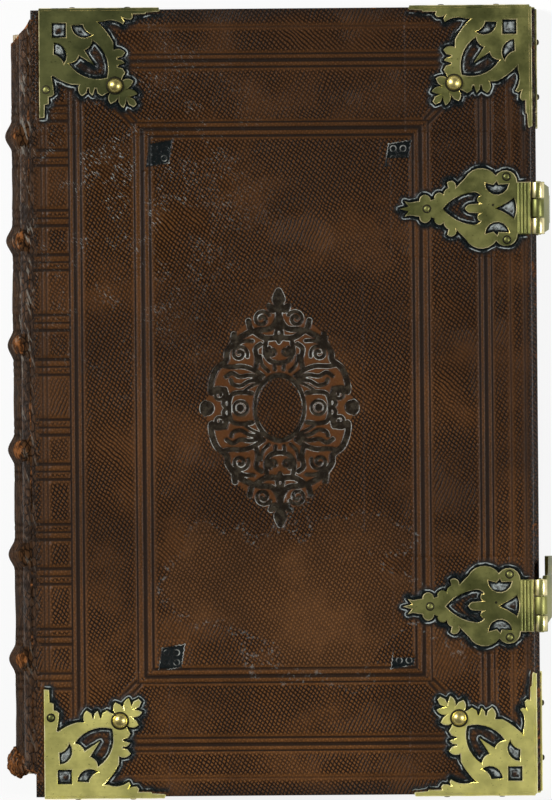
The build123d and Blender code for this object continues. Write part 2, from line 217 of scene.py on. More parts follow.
def calc(operation, a, b=0.0, clamp=False):
    tree = (a if isSocket(a) else b).id_data
    return put(tree, "ShaderNodeMath", {0: a, 1: b}, operation=operation, use_clamp=clamp).outputs[0]


def chain(operation, first, others):
    for value in others:
        first = calc(operation, first, value)
    return first


def times(first, *others):
    return chain("MULTIPLY", first, others)


def plus(first, *others):
    return chain("ADD", first, others)


def minus(a, b):
    return calc("SUBTRACT", a, b)


def largest(first, *others):
    return chain("MAXIMUM", first, others)


def ranged(value, low, high, lowOut=0.0, highOut=1.0, kind="LINEAR"):
    return put(value.id_data, "ShaderNodeMapRange", {
        "Value": value, "From Min": low, "From Max": high, "To Min": lowOut, "To Max": highOut,
    }, interpolation_type=kind).outputs["Result"]


def between(value, low, high):  # value from low to high, as 0 to 1
    return ranged(value, low, high, kind="SMOOTHSTEP")


def mixColor(factor, a, b):
    tree = factor.id_data
    made = put(tree, "ShaderNodeMix", data_type="RGBA")
    for socket, value in ((made.inputs[0], factor), (made.inputs[6], a), (made.inputs[7], b)):
        if isSocket(value):
            tree.links.new(value, socket)
        else:
            socket.default_value = (*value, 1.0)
    return made.outputs[2]


def toned(color, share):
    return tuple(c * share for c in color)


def noiseOf(coord, scale, detail=3.0, rough=0.55, distortion=0.0):
    return put(coord.id_data, "ShaderNodeTexNoise", {
        "Vector": coord, "Scale": scale, "Detail": detail, "Roughness": rough, "Distortion": distortion,
    }).outputs["Fac"]


def patchy(coord, scale, low, high, detail=4.0, rough=0.55):  # noise hardened into patches
    return between(noiseOf(coord, scale, detail, rough), low, high)


def centred(coord, scale, amount, detail=4.0, rough=0.55):  # noise about 0
    return times(minus(noiseOf(coord, scale, detail, rough), 0.5), amount)


def mapped(coord, turn=(0, 0, 0), scale=(1, 1, 1), shift=(0, 0, 0)):
    return put(coord.id_data, "ShaderNodeMapping", {
        "Vector": coord, "Rotation": tuple(math.radians(a) for a in turn), "Scale": scale, "Location": shift,
    }).outputs[0]


def vectorCalc(operation, a, inputs):
    return put(a.id_data, "ShaderNodeVectorMath", {0: a, **inputs}, operation=operation).outputs[0]


def attributeOf(tree, name):
    return put(tree, "ShaderNodeAttribute", attribute_name=name).outputs["Fac"]


def surface(tree, color, rough, normal, **inputs):
    inputs = {"Base Color": color, "Roughness": rough, "Normal": normal, **inputs}
    shader = put(tree, "ShaderNodeBsdfPrincipled", inputs)
    tree.links.new(shader.outputs[0], put(tree, "ShaderNodeOutputMaterial").inputs[0])


def bumpOf(height, distance, strength, normal=None):
    inputs = {"Height": height, "Distance": distance * mm, "Strength": strength}
    if normal:
        inputs["Normal"] = normal
    return put(height.id_data, "ShaderNodeBump", inputs).outputs[0]


def objectCoords(tree):
    return put(tree, "ShaderNodeTexCoord").outputs["Object"]


# leather: diced or crackled grain, darker in what is pressed and beside the brass, orange where worn raw

leatherLook = {
    "grainPitch": 1.75, "grainTurns": (24, -48), "waver": 1.5, "crackle": 430.0, "creased": False,
    "strokeTurn": -48, "strokeScale": (1900, 480, 1900), "rough": 0.34, "shine": 0.13,
    "dark": (0.0070, 0.0032, 0.0012), "brown": (0.080, 0.0325, 0.0098), "warm": (0.130, 0.0520, 0.0142),
    "raw": (0.25, 0.094, 0.029), "grime": (0.004, 0.0066, 0.0074), "dustAndHighlight": (0.36, 0.40, 0.39),
    "ground": (0.086, 0.0315, 0.0095), "strap": (0.0075, 0.0070, 0.0052), "strapLight": (0.034, 0.029, 0.020),
    # the strap highlight colour is a painted highlight for the edges of the pressed straps
    "paintedStrapHighlight": (0.40, 0.41, 0.375), "stain": (0.110, 0.060, 0.030),
}
spineLook = {
    **leatherLook, "brown": (0.053, 0.025, 0.0100), "warm": (0.080, 0.035, 0.0130), "dustAndHighlight": (0.28, 0.265, 0.225),
    "creased": True, "strokeTurn": -18, "strokeScale": (520, 95, 200), "rough": 0.72, "shine": 0.03,
}
jointLook = {**spineLook, "rough": 0.40, "shine": 0.14}


def grainOf(coord, look):  # 1 on the grain's tops, 0 in its creases
    tree = coord.id_data
    push = put(tree, "ShaderNodeTexNoise", {"Vector": coord, "Scale": 170.0, "Detail": 2.0}).outputs["Color"]
    push = vectorCalc("SUBTRACT", push, {1: (0.5, 0.5, 0.5)})
    push = vectorCalc("SCALE", push, {"Scale": look["waver"] * mm})
    uneven = vectorCalc("ADD", coord, {1: push})
    if look["creased"]:  # crackled all over, the cracks longer along the spine
        cells = put(tree, "ShaderNodeTexVoronoi", {
            "Vector": mapped(uneven, scale=(1, 0.5, 1)), "Scale": look["crackle"],
        }, feature="DISTANCE_TO_EDGE").outputs["Distance"]
        return between(cells, 0.0, 0.15)
    creases = []
    for k, turn in enumerate(look["grainTurns"]):  # two sets of boarded creases make the dice, each faint in places
        wave = put(tree, "ShaderNodeTexWave", {
            "Vector": mapped(uneven, turn=(0, 0, turn)), "Scale": 0.314 / (look["grainPitch"] * mm),
            "Distortion": 3.0, "Detail": 1.5, "Detail Scale": 0.6, "Detail Roughness": 0.5,
        }).outputs["Fac"]
        faint = patchy(mapped(coord, shift=(k * 0.7, 0, 0)), 24.0, 0.52, 0.74, 3.0)
        creases.append(largest(between(wave, 0.02, 0.66), times(faint, 0.75)))
    return times(*creases)


def leatherMaterial(name, look):
    material, tree = newMaterial(name)
    coord = objectCoords(tree)
    pressed, stamp, raw, stain, ground, bed, polish = (
        attributeOf(tree, key) for key in ("pressed", "stamp", "raw", "stain", "ground", "bed", "polish"))
    patches = noiseOf(coord, 13.0, 5.0, 0.62)
    flat = patchy(coord, 30.0, 0.46, 0.70)  # the grain is rubbed flat in places

    # the leather's own colour, smoother between the straps of the medallion
    tone = calc("MULTIPLY", plus(patches, centred(coord, 520.0, 1.3, 2.0)), attributeOf(tree, "warm"), True)
    body = mixColor(tone, look["brown"], look["warm"])
    body = mixColor(between(patches, 0.56, 0.34), body, toned(look["brown"], 0.85))
    body = mixColor(times(stain, 0.22), body, look["stain"])
    body = mixColor(times(ground, patchy(coord, 210.0, 0.30, 0.62, 4.0, 0.65)), body, look["ground"])

    # creases, pressed lines, straps with a painted highlight along their edges, and dirt
    smooth = largest(ground, stamp, pressed, times(attributeOf(tree, "ridge"), 0.7), times(stain, 0.32))
    grooves = largest(grainOf(coord, look), times(smooth, 0.85))
    deep = times(minus(1.0, grooves), minus(0.98, times(flat, 0.34)))
    body = mixColor(deep, body, look["dark"])
    body = mixColor(times(pressed, 0.94), body, toned(look["dark"], 0.75))
    strapTone = mixColor(patchy(coord, 230.0, 0.42, 0.66, 4.0, 0.65), look["strap"], look["strapLight"])
    body = mixColor(times(stamp, 0.94), body, strapTone)
    body = mixColor(calc("MULTIPLY", attributeOf(tree, "grime"), 0.95, True), body, look["grime"])
    # painted highlight: a pale line along the edges of the pressed straps
    paintedStrapHighlight = times(between(stamp, 0.18, 0.42), between(stamp, 0.86, 0.56), patchy(coord, 105.0, 0.45, 0.60), 0.9)
    body = mixColor(paintedStrapHighlight, body, look["paintedStrapHighlight"])

    # beside the brass: a dark line of polish and dirt, then a thin pale crest; small openings get a pale painted
    # highlight all over
    away = plus(attributeOf(tree, "away"), centred(coord, 150.0, 2.6))
    body = mixColor(times(between(away, 4.6, 1.5), bed), body, look["grime"])
    crest = times(between(away, 1.2, 1.5), between(away, 2.05, 1.7), patchy(coord, 150.0, 0.44, 0.62))
    paintedWindowHighlight = times(between(away, 0.7, 1.5), patchy(coord, 260.0, 0.40, 0.66),
                   between(attributeOf(tree, "opening"), 0.5, 0.9))
    # from here the crest mask also carries the painted highlight in the openings
    crest = times(largest(crest, paintedWindowHighlight), bed)

    # worn through to the raw leather; then painted light towards the tail and painted shade at the head
    rawTone = mixColor(patchy(coord, 330.0, 0.34, 0.66), toned(look["raw"], 0.18), look["raw"])
    bare = between(times(plus(raw, centred(coord, 190.0, 3.4, 5.0, 0.7)), raw), 0.22, 0.42)
    body = mixColor(bare, body, rawTone)
    body = vectorCalc("SCALE", body, {"Scale": plus(1.0, attributeOf(tree, "fade"))})

    normal = bumpOf(plus(grooves, times(noiseOf(coord, 1100.0, 2.0), 0.3)), 0.45, 0.9)
    tide = times(attributeOf(tree, "tide"), patchy(coord, 620.0, 0.53, 0.68, 3.0), 0.26)
    paleDustAndHighlight = largest(times(crest, 0.85), tide)
    slant = mapped(coord, turn=(0, 0, look["strokeTurn"]))
    strokes = noiseOf(mapped(slant, scale=look["strokeScale"]), 1.0, 3.0, 0.6)
    if look["creased"]:  # long slanting creases on the spine, with a painted highlight where they stand up
        bare = times(bare, between(strokes, 0.40, 0.50))
        normal = bumpOf(strokes, 0.9, 0.9, normal)
        body = mixColor(times(between(strokes, 0.50, 0.38), 0.7), body, look["dark"])
        paleDustAndHighlight = largest(paleDustAndHighlight, times(between(strokes, 0.57, 0.66), attributeOf(tree, "creaseGlint"), 0.5))
    else:  # painted highlights: short bright strokes along one set of grain lines, in the polished patch
        paintedGlint = times(between(strokes, 0.59, 0.67), polish, patchy(coord, 75.0, 0.46, 0.60, 2.0), 0.62)
        paleDustAndHighlight = largest(paleDustAndHighlight, paintedGlint)
    # pale dust, verdigris and the stain's tide mark, together with painted highlights on the openings, grain and
    # creases
    body = mixColor(paleDustAndHighlight, body, look["dustAndHighlight"])

    rough = ranged(plus(patches, times(flat, 0.25)), 0.3, 0.9, look["rough"], look["rough"] + 0.12)
    dull = plus(times(bare, 0.4), times(pressed, 0.25))
    bright = plus(times(polish, 0.16), times(stamp, 0.12))
    rough = calc("SUBTRACT", plus(rough, dull), bright, True)
    surface(tree, body, rough, normal, **{"Specular IOR Level": look["shine"]})
    return material


# brass: dull olive tarnish on the faces, with a painted highlight along the sloping rims

def brassMaterial(name, tone, tarnish, paintedRimHighlight, rough):
    material, tree = newMaterial(name)
    coord = objectCoords(tree)
    clouds = noiseOf(coord, 55.0, 5.0, 0.6)
    specks = noiseOf(coord, 700.0)
    scratches = noiseOf(mapped(coord, turn=(0, 0, 33), scale=(90, 1800, 90)), 1.0)
    # rim: the sloping faces, lighter with a painted highlight
    rim = times(attributeOf(tree, "rim"), patchy(coord, 130.0, 0.34, 0.60, 3.0))
    base = mixColor(between(clouds, 0.33, 0.68), tarnish, tone)
    base = mixColor(times(between(specks, 0.64, 0.74), 0.6), base, toned(tarnish, 0.3))
    base = mixColor(rim, base, paintedRimHighlight)
    dull = ranged(plus(clouds, times(scratches, 0.3)), 0.3, 1.0, rough, rough + 0.2)
    height = plus(times(scratches, 0.4), specks)
    surface(tree, base, minus(dull, times(rim, 0.1)), bumpOf(height, 0.05, 0.5), Metallic=1.0)
    return material


# paper: leaf edges as fine lines through the block's thickness, and plain sheets

def paperMaterial(name, light, dark, leafPitch):
    material, tree = newMaterial(name)
    coord = objectCoords(tree)
    spots = times(patchy(coord, 160.0, 0.66, 0.78, 3.0), 0.5)
    color = mixColor(noiseOf(coord, 45.0, 5.0, 0.6), dark, light)
    color = mixColor(spots, color, (0.25, 0.15, 0.07))
    height = noiseOf(coord, 900.0, 2.0)
    if leafPitch:
        facing = put(tree, "ShaderNodeTexCoord").outputs["Normal"]
        facing = put(tree, "ShaderNodeSeparateXYZ", {0: facing}).outputs["Z"]
        page = between(calc("ABSOLUTE", facing), 0.93, 0.99)  # the outer leaves lie flat, without edge lines
        leaves = noiseOf(mapped(coord, scale=(12, 12, 1 / (leafPitch * mm))), 1.0, 3.0, 0.7)
        color = mixColor(largest(between(leaves, 0.40, 0.62), page), toned(dark, 0.42), color)
        height = times(leaves, minus(1.0, page))
    surface(tree, color, 0.82, bumpOf(height, 0.3, 0.7))
    return material


def woodMaterial(name, dark, light):
    material, tree = newMaterial(name)
    rings = noiseOf(mapped(objectCoords(tree), scale=(160, 9, 160)), 1.0, 4.0, 0.6, 0.6)
    surface(tree, mixColor(rings, dark, light), 0.7, bumpOf(rings, 0.2, 0.6))
    return material


coverLeather = leatherMaterial("coverLeather", leatherLook)
spineLeather = leatherMaterial("spineLeather", spineLook)
jointLeather = leatherMaterial("jointLeather", jointLook)
brassLooks = {  # face, tarnish, painted rim highlight, roughness; the head and tail corners get the same brass with painted shade and painted light
    "headBrass": ((0.122, 0.126, 0.046), (0.072, 0.080, 0.030), (0.72, 0.64, 0.34), 0.36),
    "claspBrass": ((0.285, 0.280, 0.096), (0.130, 0.138, 0.046), (0.80, 0.70, 0.38), 0.36),
    "tailBrass": ((0.93, 0.86, 0.280), (0.74, 0.70, 0.22), (0.95, 0.88, 0.52), 0.34),
    "studBrass": ((0.88, 0.74, 0.28), (0.46, 0.38, 0.13), (0.90, 0.80, 0.44), 0.30),
    # dark metal of the nails, also used for the discs and dots of painted shade
    "darkNailMetalAndShade": ((0.06, 0.055, 0.03), (0.025, 0.024, 0.016), (0.2, 0.18, 0.1), 0.4),
}
brass = {name: brassMaterial(name, *look) for name, look in brassLooks.items()}
leafEdges = paperMaterial("leafEdges", (0.62, 0.50, 0.32), (0.42, 0.31, 0.17), 0.32)
endpaper = paperMaterial("endpaper", (0.68, 0.58, 0.41), (0.55, 0.44, 0.28), 0)
boardWood = woodMaterial("boardWood", (0.17, 0.10, 0.05), (0.36, 0.24, 0.13))
print("materials ready")


# tooling on a cover: straight fillets and mitres, corner fleurons and a strapwork medallion, all pressed in

tooling = {
    "depth": 0.48, "jointLines": (5.2, 7.4), "sideLines": (19.3, 22.3, 25.4), "sidePanel": (52.6, 56.6, 60.4),
    "edgeLines": (3.6, 10.8), "headLines": (23.0, 26.2, 29.6), "headPanel": (57.6, 60.9, 64.6), "headEdge": (9.2,),
    "tripleHalf": (0.42, 0.95, 0.55), "panelHalf": (0.42, 1.0, 0.65), "thinHalf": 0.45,
    "bandLines": (7.4, 11.2, 15.2), "bandHalf": (0.8, 0.45, 0.7), "mitreApart": 1.5, "mitreHalf": 0.7,
    "jointPress": 0.6, "edgePress": 0.55, "headPress": 0.5, "bandPress": 0.95, "mitrePress": 0.95, "soft": (0.25, 0.3),
    "smoothed": 1.2, "mitreSmoothed": 0.9, "overrun": 0.6,
}
bands = {"first": 136.3, "apart": 53.2, "count": 6}
bandPlaces = [bands["first"] - bands["apart"] * i for i in range(bands["count"])]
fleuron = {
    "size": 5.9, "lean": 0.16, "petalAt": 2.5, "petalRing": 1.5, "petalLine": 0.5, "veinLong": 1.4, "veinLine": 0.4,
    "patch": 10.5, "deeper": 1.5, "teeth": (0.035, 24), "soft": (-0.02, 0.10), "petalPress": 0.52,
    "places": ((-61.7, 126.8), (59.7, 125.8), (-57.4, -129.5), (60.7, -129.3)),
}
medallion = {
    "scale": 0.978, "oval": (12.9, 16.9), "ovalHalf": 1.25, "ovalMean": 14.5, "depth": 0.82, "shift": (-1.6, -3.0),
    "straps": 1.27, "patch": (44, 65), "widest": 2.6, "soft": (-0.24, 0.30),
}


def curved(points, step=0.35):  # smooth line through a few points
    pts = [points[0], *points, points[-1]]
    out = []
    for a, b, c, d in zip(pts, pts[1:], pts[2:], pts[3:]):
        n = max(2, int(math.dist(b, c) / step))
        for i in range(n):
            t = i / n
            out.append(tuple(
                0.5 * (2 * q + (r - p) * t + (2 * p - 5 * q + 4 * r - s) * t * t + (3 * q - p - 3 * r + s) * t ** 3)
                for p, q, r, s in zip(a, b, c, d)))
    out.append(points[-1])
    return out


def spiral(centre, outer, inner, start, turns, hand):
    n = int(outer * turns * 9)
    out = []
    for i in range(n + 1):
        radius, turn = outer + (inner - outer) * i / n, math.radians(start) + hand * turns * 2 * math.pi * i / n
        out.append((centre[0] + radius * math.cos(turn), centre[1] + radius * math.sin(turn)))
    return out


# one quarter of the strapwork, in millimetres from the medallion's centre: line and half width
strapwork = [
    (curved([(0, 60.5), (1.6, 56.5), (0.6, 53), (2.8, 51)]), 1.5),
    (curved([(2.5, 52), (5.2, 53.2), (4.2, 50.4)]), 1.0),
    (spiral((8.8, 46.1), 4.3, 1.0, 150, 1.35, -1), 0.85),
    (curved([(0, 52), (0.9, 46), (4.2, 41.4), (10, 40.6), (14.2, 40.2), (15.8, 45.2)]), 1.25),
    (curved([(14.2, 39.9), (20, 36.8), (23.6, 34.2), (23.4, 38.2)]), 1.3),
    (curved([(23.6, 34.2), (27, 29), (27.6, 24.6), (32.6, 20.2),
             (35.2, 13.6), (35.4, 8.2), (32.6, 9.9), (29, 9.6)]), 1.3),
    (spiral((31.4, 6.9), 3.3, 0.8, 90, 1.3, 1), 0.75),
    (spiral((37.4, 0), 2.9, 0.6, 0, 2.2, 1), 1.0),
    (curved([(38.6, 3.2), (40.2, 1.6), (40.4, 0)]), 0.9),
    (curved([(28, 10), (27.2, 6), (29.2, 2.6), (27.8, 0)]), 0.9),
    (curved([(14.2, 7.6), (19.5, 8.2), (24.4, 7.2), (26, 3.4), (26, 0)]), 1.0),
    (spiral((20.2, 0), 3.6, 3.6, 0, 1.0, 1), 0.75),
    (spiral((20.2, 0), 1.5, 0.3, 0, 1.5, 1), 0.7),
    (curved([(9.5, 15.4), (15, 17), (20.5, 16.4), (24.5, 18.2), (27.6, 16.4)]), 0.95),
    (curved([(9.8, 14.4), (15.5, 14), (20, 11.6), (24, 12.4), (25.2, 14.6)]), 0.9),
    (curved([(10.4, 13.2), (14.6, 11.4), (17.6, 9.4)]), 0.7),
    (curved([(8.4, 16.6), (13, 19.6), (19, 21.6), (25, 21.4), (29.4, 22.2)]), 1.05),
    (curved([(12.6, 19.8), (11.4, 25), (12.2, 30.6), (9.6, 33)]), 1.1),
    (spiral((20.6, 28.2), 4.4, 0.9, 200, 1.4, -1), 0.85),
    (curved([(13.8, 34.8), (19, 34.6), (24.6, 31.4)]), 0.9),
    (spiral((3.6, 29.2), 2.6, 0.6, 60, 1.25, -1), 0.75),
    (curved([(6.8, 34), (7.4, 28.5), (4.6, 24.4), (0, 23.2)]), 1.05),
    (curved([(0, 36.8), (4, 36.2), (8, 36.6), (12.8, 39.6)]), 1.25),
    (curved([(0, 34), (1.6, 38), (0, 44)]), 0.9),
    (curved([(2.2, 19.8), (2.4, 22.2)]), 0.8),
    (curved([(5.6, 19), (8.8, 22.4), (9.8, 27)]), 0.8),
]
groundQuarter = [
    (40.4, 0), (38.5, 4), (36.2, 8), (36.0, 14), (33, 21), (28.5, 26), (27.5, 31), (24.5, 37), (16.5, 44.5), (12, 49),
    (4.5, 53.5), (0, 60.5),
]
groundPath = (groundQuarter + [(-x, y) for x, y in groundQuarter[-2::-1]] + [(-x, -y) for x, y in groundQuarter[1:]]
              + [(x, -y) for x, y in groundQuarter[-2:0:-1]])


def inOval(x, y):  # below 1 inside the medallion's plain field
    return np.hypot(x / medallion["oval"][0], y / medallion["oval"][1])


def strapworkPress(x, y):  # 0 on the raised ground, 1 in the pressed straps
    tree = kdtree.KDTree(sum(len(line) for line, half in strapwork))
    halves = []
    for line, half in strapwork:
        for a, b in line:
            tree.insert((a, b, 0), len(halves))
            halves.append(half * medallion["straps"])
    tree.balance()
    pressed = np.array([
        max((halves[k] - away for spot, k, away in tree.find_range((a, b, 0), medallion["widest"])), default=-1)
        for a, b in zip(np.abs(x), np.abs(y))])
    ring = medallion["ovalHalf"] - np.abs(inOval(x, y) - 1) * medallion["ovalMean"]
    pressed = np.where(inOval(x, y) < 1, ring, np.maximum(pressed, ring))
    return smoothstep(*medallion["soft"], pressed)


def fleuronPress(x, y):  # skewed square of four petals, on its own centre
    lean, turn = fleuron["lean"], np.arctan2(y, x)
    deep, often = fleuron["teeth"]
    edge = 1 - np.maximum(np.abs(x - lean * y), np.abs(y - lean * x)) / fleuron["size"] + deep * np.cos(turn * often)
    petal = np.hypot(np.abs(x) - fleuron["petalAt"], np.abs(y) - fleuron["petalAt"])
    petals = np.abs(petal - fleuron["petalRing"]) / fleuron["petalLine"]
    veins = np.where(np.hypot(x, y) < fleuron["veinLong"], np.abs(np.abs(x) - np.abs(y)) / fleuron["veinLine"], 1)
    ground = np.clip(np.minimum(petals, veins), 0, 1)
    press = fleuron["petalPress"]
    return smoothstep(*fleuron["soft"], edge) * (press + (1 - press) * ground)


def toolLines(width):  # straight fillets as (axis, place, from, to, strength, half width)
    thin, side = tooling["thinHalf"], tooling["sideLines"][0]
    out = [(0, u, -headY, headY, tooling["jointPress"], thin) for u in tooling["jointLines"]]
    frames = (("sideLines", "headLines", "tripleHalf", -1), ("sidePanel", "headPanel", "panelHalf", 0.5))
    for sides, tops, halves, shift in frames:
        for u, low, half in zip(tooling[sides], tooling[tops], tooling[halves]):
            far, top = width - u + shift, headY - low
            out += [(0, u, -top, top, 1.0, half), (0, far, -top, top, 1.0, half)]
            out += [(1, top, u, far, 1.0, half), (1, -top, u, far, 1.0, half)]
    out += [(0, width - u, -headY, headY, tooling["edgePress"], thin) for u in tooling["edgeLines"]]
    for sign in (1, -1):
        out += [(1, sign * (headY - v), 0, width, tooling["headPress"], thin) for v in tooling["headEdge"]]
        for place in bandPlaces:
            for away, half in zip(tooling["bandLines"], tooling["bandHalf"]):
                out.append((1, place + sign * away, 0, side, tooling["bandPress"], half))
    return out


def mitreLines(width):  # pairs of slanting lines from the outer frame to the panel
    out = []
    for signU in (-1, 1):
        for signV in (-1, 1):
            a, b = (Vector((width / 2 + signU * (width / 2 - u), signV * (headY - v))) for u, v in (
                (tooling["sideLines"][2], tooling["headLines"][2]), (tooling["sidePanel"][0], tooling["headPanel"][0])))
            across = Vector((-(b - a).y, (b - a).x)).normalized()
            for shift in (-tooling["mitreApart"], tooling["mitreApart"]):
                out.append((a + across * shift, b + across * shift))
    return out


def groove(distance, half):
    return 1 - smoothstep(half - tooling["soft"][0], half + tooling["soft"][1], np.abs(distance))


def lineTraits(u, v, width):  # how deep the straight tooling is at each point, and where it has smoothed the grain
    pressed, ridge = np.zeros(len(u)), np.zeros(len(u))
    for axis, place, start, end, strength, half in toolLines(width):
        across, along = (u, v) if axis == 0 else (v, u)
        on = (along > start - tooling["overrun"]) & (along < end + tooling["overrun"])
        pressed = np.maximum(pressed, np.where(on, groove(across - place, half), 0) * strength)
        ridge = np.maximum(ridge, np.where(on, groove(across - place, half + tooling["smoothed"]), 0))
    for a, b in mitreLines(width):
        d = b - a
        t = np.clip(((u - a.x) * d.x + (v - a.y) * d.y) / d.length_squared, 0, 1)
        away = np.hypot(u - a.x - t * d.x, v - a.y - t * d.y)
        pressed = np.maximum(pressed, groove(away, tooling["mitreHalf"]) * tooling["mitrePress"])
        ridge = np.maximum(ridge, groove(away, tooling["mitreHalf"] + tooling["mitreSmoothed"]))
    return {"pressed": pressed, "ridge": ridge}


# leather of one cover: a sheet with the tooling pressed in, wrapped round the board's edges to the turn-ins

sheet = {
    "edgeRound": 0.9, "turnIn": 22.0, "lining": 1.4, "fineStep": 0.42, "coarseStep": 2.0, "closest": 0.25, "start": 0.3,
    "pucker": 0.16, "sunk": 0.9, "sunkFrom": (1.6, 3.0), "under": 1.1, "lineSides": (0.3, 0.2),
    "mitreCuts": (-1.0, -0.5, 0.5, 1.0), "eased": (0.35, 0.5),
}


def gridPlaces(low, high, lines):  # even steps, with places of their own for the sides of each line
    keep = {low, high}
    for place, half in lines:
        outer, inner = half + sheet["lineSides"][0], half - sheet["lineSides"][1]
        keep |= {round(place + o, 3) for o in (-outer, -inner, inner, outer)}
    places = []
    for place in sorted(p for p in keep if low <= p <= high):
        if places and place - places[-1] < sheet["closest"]:
            continue
        if places:
            count = math.ceil((place - places[-1]) / sheet["coarseStep"])
            places += [places[-1] + (place - places[-1]) * i / count for i in range(1, count)]
        places.append(place)
    places[-1] = high
    return np.array(places)


def inBoard(side, u, v, h):  # a place on a cover, h out from its face
    cover = covers[side]
    return (jointX + u, v, cover["z"] + cover["out"] * h)


def cutAlong(bm, width, margin=3):  # lets the slanting lines have edges of their own
    for a, b in mitreLines(width):
        across = Vector((-(b - a).y, (b - a).x)).normalized()
        low = Vector((min(a.x, b.x) - margin, min(a.y, b.y) - margin))
        high = Vector((max(a.x, b.x) + margin, max(a.y, b.y) + margin))
        for off in sheet["mitreCuts"]:
            region = [f for f in bm.faces if low.x < f.calc_center_median().x < high.x
                      and low.y < f.calc_center_median().y < high.y]
            geom = region + list({e for f in region for e in f.edges}) + list({v for f in region for v in f.verts})
            point = a + across * off
            bmesh.ops.bisect_plane(bm, geom=geom, plane_co=(point.x, point.y, 0),
                                   plane_no=(across.x, across.y, 0), dist=0.05)


def stampPlaces(side):  # the medallion and the four fleurons, as (low u, high u, low v, high v)
    half = covers[side]["width"] / 2
    stamps = [(medallion["shift"], medallion["patch"])]
    stamps += [(place, (fleuron["patch"], fleuron["patch"])) for place in fleuron["places"]]
    return [(half + u - wide, half + u + wide, v - tall, v + tall) for (u, v), (wide, tall) in stamps]


bed = {"reach": 65.0, "inset": 1.0, "spineSide": 3.0, "plateLong": 72.8, "plateHalf": 26.0, "fold": 1.0}


def bedPlaces(side):  # the leather that carries brass
    out = []
    for end in ends:
        for edge in edges:
            lo, hi = nodeBox(f"{side}_{end}_{edge}_corner")
            near, far, head, tail = lo.x - jointX, hi.x - bed["fold"] - jointX, hi.y - bed["fold"], lo.y + bed["fold"]
            u = (near - bed["spineSide"], near + bed["reach"])
            if edge == "fore":
                u = (far - bed["reach"], far - bed["inset"])
            v = (tail + bed["inset"], tail + bed["reach"])
            if end == "head":
                v = (head - bed["reach"], head - bed["inset"])
            out.append((*u, *v))
    for level in levels if side == "front" else ():
        lo, hi = nodeBox(f"{level}_clasp_plate")
        u, v = frontHi.x - jointX, (lo.y + hi.y) / 2
        out.append((u - bed["plateLong"], u - bed["inset"], v - bed["plateHalf"], v + bed["plateHalf"]))
    return out


wear = {
    "edgeGrime": (8, 0.5), "jointGrime": (12, 0.3), "warmAt": -70, "warmSize": (0.66, 215), "stainAt": (142, -98),
    "stainSize": (66, 44), "stain": 0.8, "tide": (0.95, 0.035), "polishAt": (48, 108), "polishSize": (52, 72),
    "rawRim": (0.2, 1.4), "paintedTailLight": 0.24, "paintedHeadShade": 0.16,
}


def ovalOf(u, v, place, size):
    return (u - place[0]) / size[0], (v - place[1]) / size[1]


def coverTraits(side, u, v):  # where the leather is dark, warm, stained or worn, and where light and shade are painted on it
    width = covers[side]["width"]
    toEdge = np.minimum(width - u, headY - np.abs(v))
    rough = roughness2d(u, v, 0.02, 5.5)
    (edgeWide, edgeGrime), (jointWide, jointGrime) = wear["edgeGrime"], wear["jointGrime"]
    grime = edgeGrime * (1 - smoothstep(0, edgeWide, toEdge + 3 * rough))
    grime = grime + jointGrime * (1 - smoothstep(0, jointWide, u))
    wide, tall = wear["warmSize"]
    middle = np.hypot(*ovalOf(u, v, (width * 0.5, wear["warmAt"]), (width * wide, tall)))
    # the terms in v are painted shade towards the head and painted light towards the tail
    warm = 1.2 - 0.7 * middle + 0.4 * rough - 0.4 * smoothstep(70, 180, v) + 0.5 * smoothstep(110, 190, -v)
    stain, tide = np.zeros(len(u)), np.zeros(len(u))
    if side == "front":  # water stain with a pale wavy rim
        blot = np.hypot(*ovalOf(u, v, wear["stainAt"], wear["stainSize"])) + 0.55 * roughness2d(u, v, 0.03, 9.2, 4)
        stain = wear["stain"] * (1 - smoothstep(0.86, 0.97, blot))
        tide = np.exp(-((blot - wear["tide"][0]) / wear["tide"][1]) ** 2)
    polishU, polishV = ovalOf(u, v, wear["polishAt"], wear["polishSize"])
    paintedHeadShade = wear["paintedHeadShade"] * smoothstep(40, 160, v) * (0.35 + 0.65 * smoothstep(70, 150, u))
    return {
        "grime": np.clip(grime, 0, 1), "warm": np.clip(warm, 0.1, 1.6), "stain": stain, "tide": tide,
        # a polished patch: lower roughness there, and the painted glints
        "polish": np.exp(-polishU ** 2 - polishV ** 2),
        "raw": 0.5 * (1 - smoothstep(*wear["rawRim"], toEdge)) * (rough > 0.22),
        # painted light towards the tail, painted shade at the head and its fore corner
        "fade": wear["paintedTailLight"] * smoothstep(30, 150, -v) - paintedHeadShade,
    }


def boardTraits(side, u, v):
    return {**lineTraits(u, v, covers[side]["width"]), **coverTraits(side, u, v)}


def sheetHeight(side, u, v, pressed):  # the leather's uneven face with the straight tooling in it
    seed = 3.1 if side == "front" else 8.7
    edge = np.minimum(headY - np.abs(v), covers[side]["width"] - u)
    pucker = sheet["pucker"] * roughness2d(u, v, 0.045, seed) * smoothstep(0, 12, edge)
    return pucker - tooling["depth"] * pressed


def borderOf(u, v, lowU, highU, lowV, highV):  # how far each point lies within a patch
    return np.minimum.reduce([u - lowU, highU - u, v - lowV, highV - v])


def rimLoop(bm):  # the open edge's points in order, counter-clockwise
    rim = [e for e in bm.edges if e.is_boundary]
    edge, loop = rim[0], [rim[0].verts[0]]
    while True:
        after = edge.other_vert(loop[-1])
        if after is loop[0]:
            break
        loop.append(after)
        edge = next(e for e in after.link_edges if e.is_boundary and e is not edge)
    if sum(a.co.x * b.co.y - b.co.x * a.co.y for a, b in zip(loop, loop[1:] + loop[:1])) < 0:
        loop.reverse()
    return loop


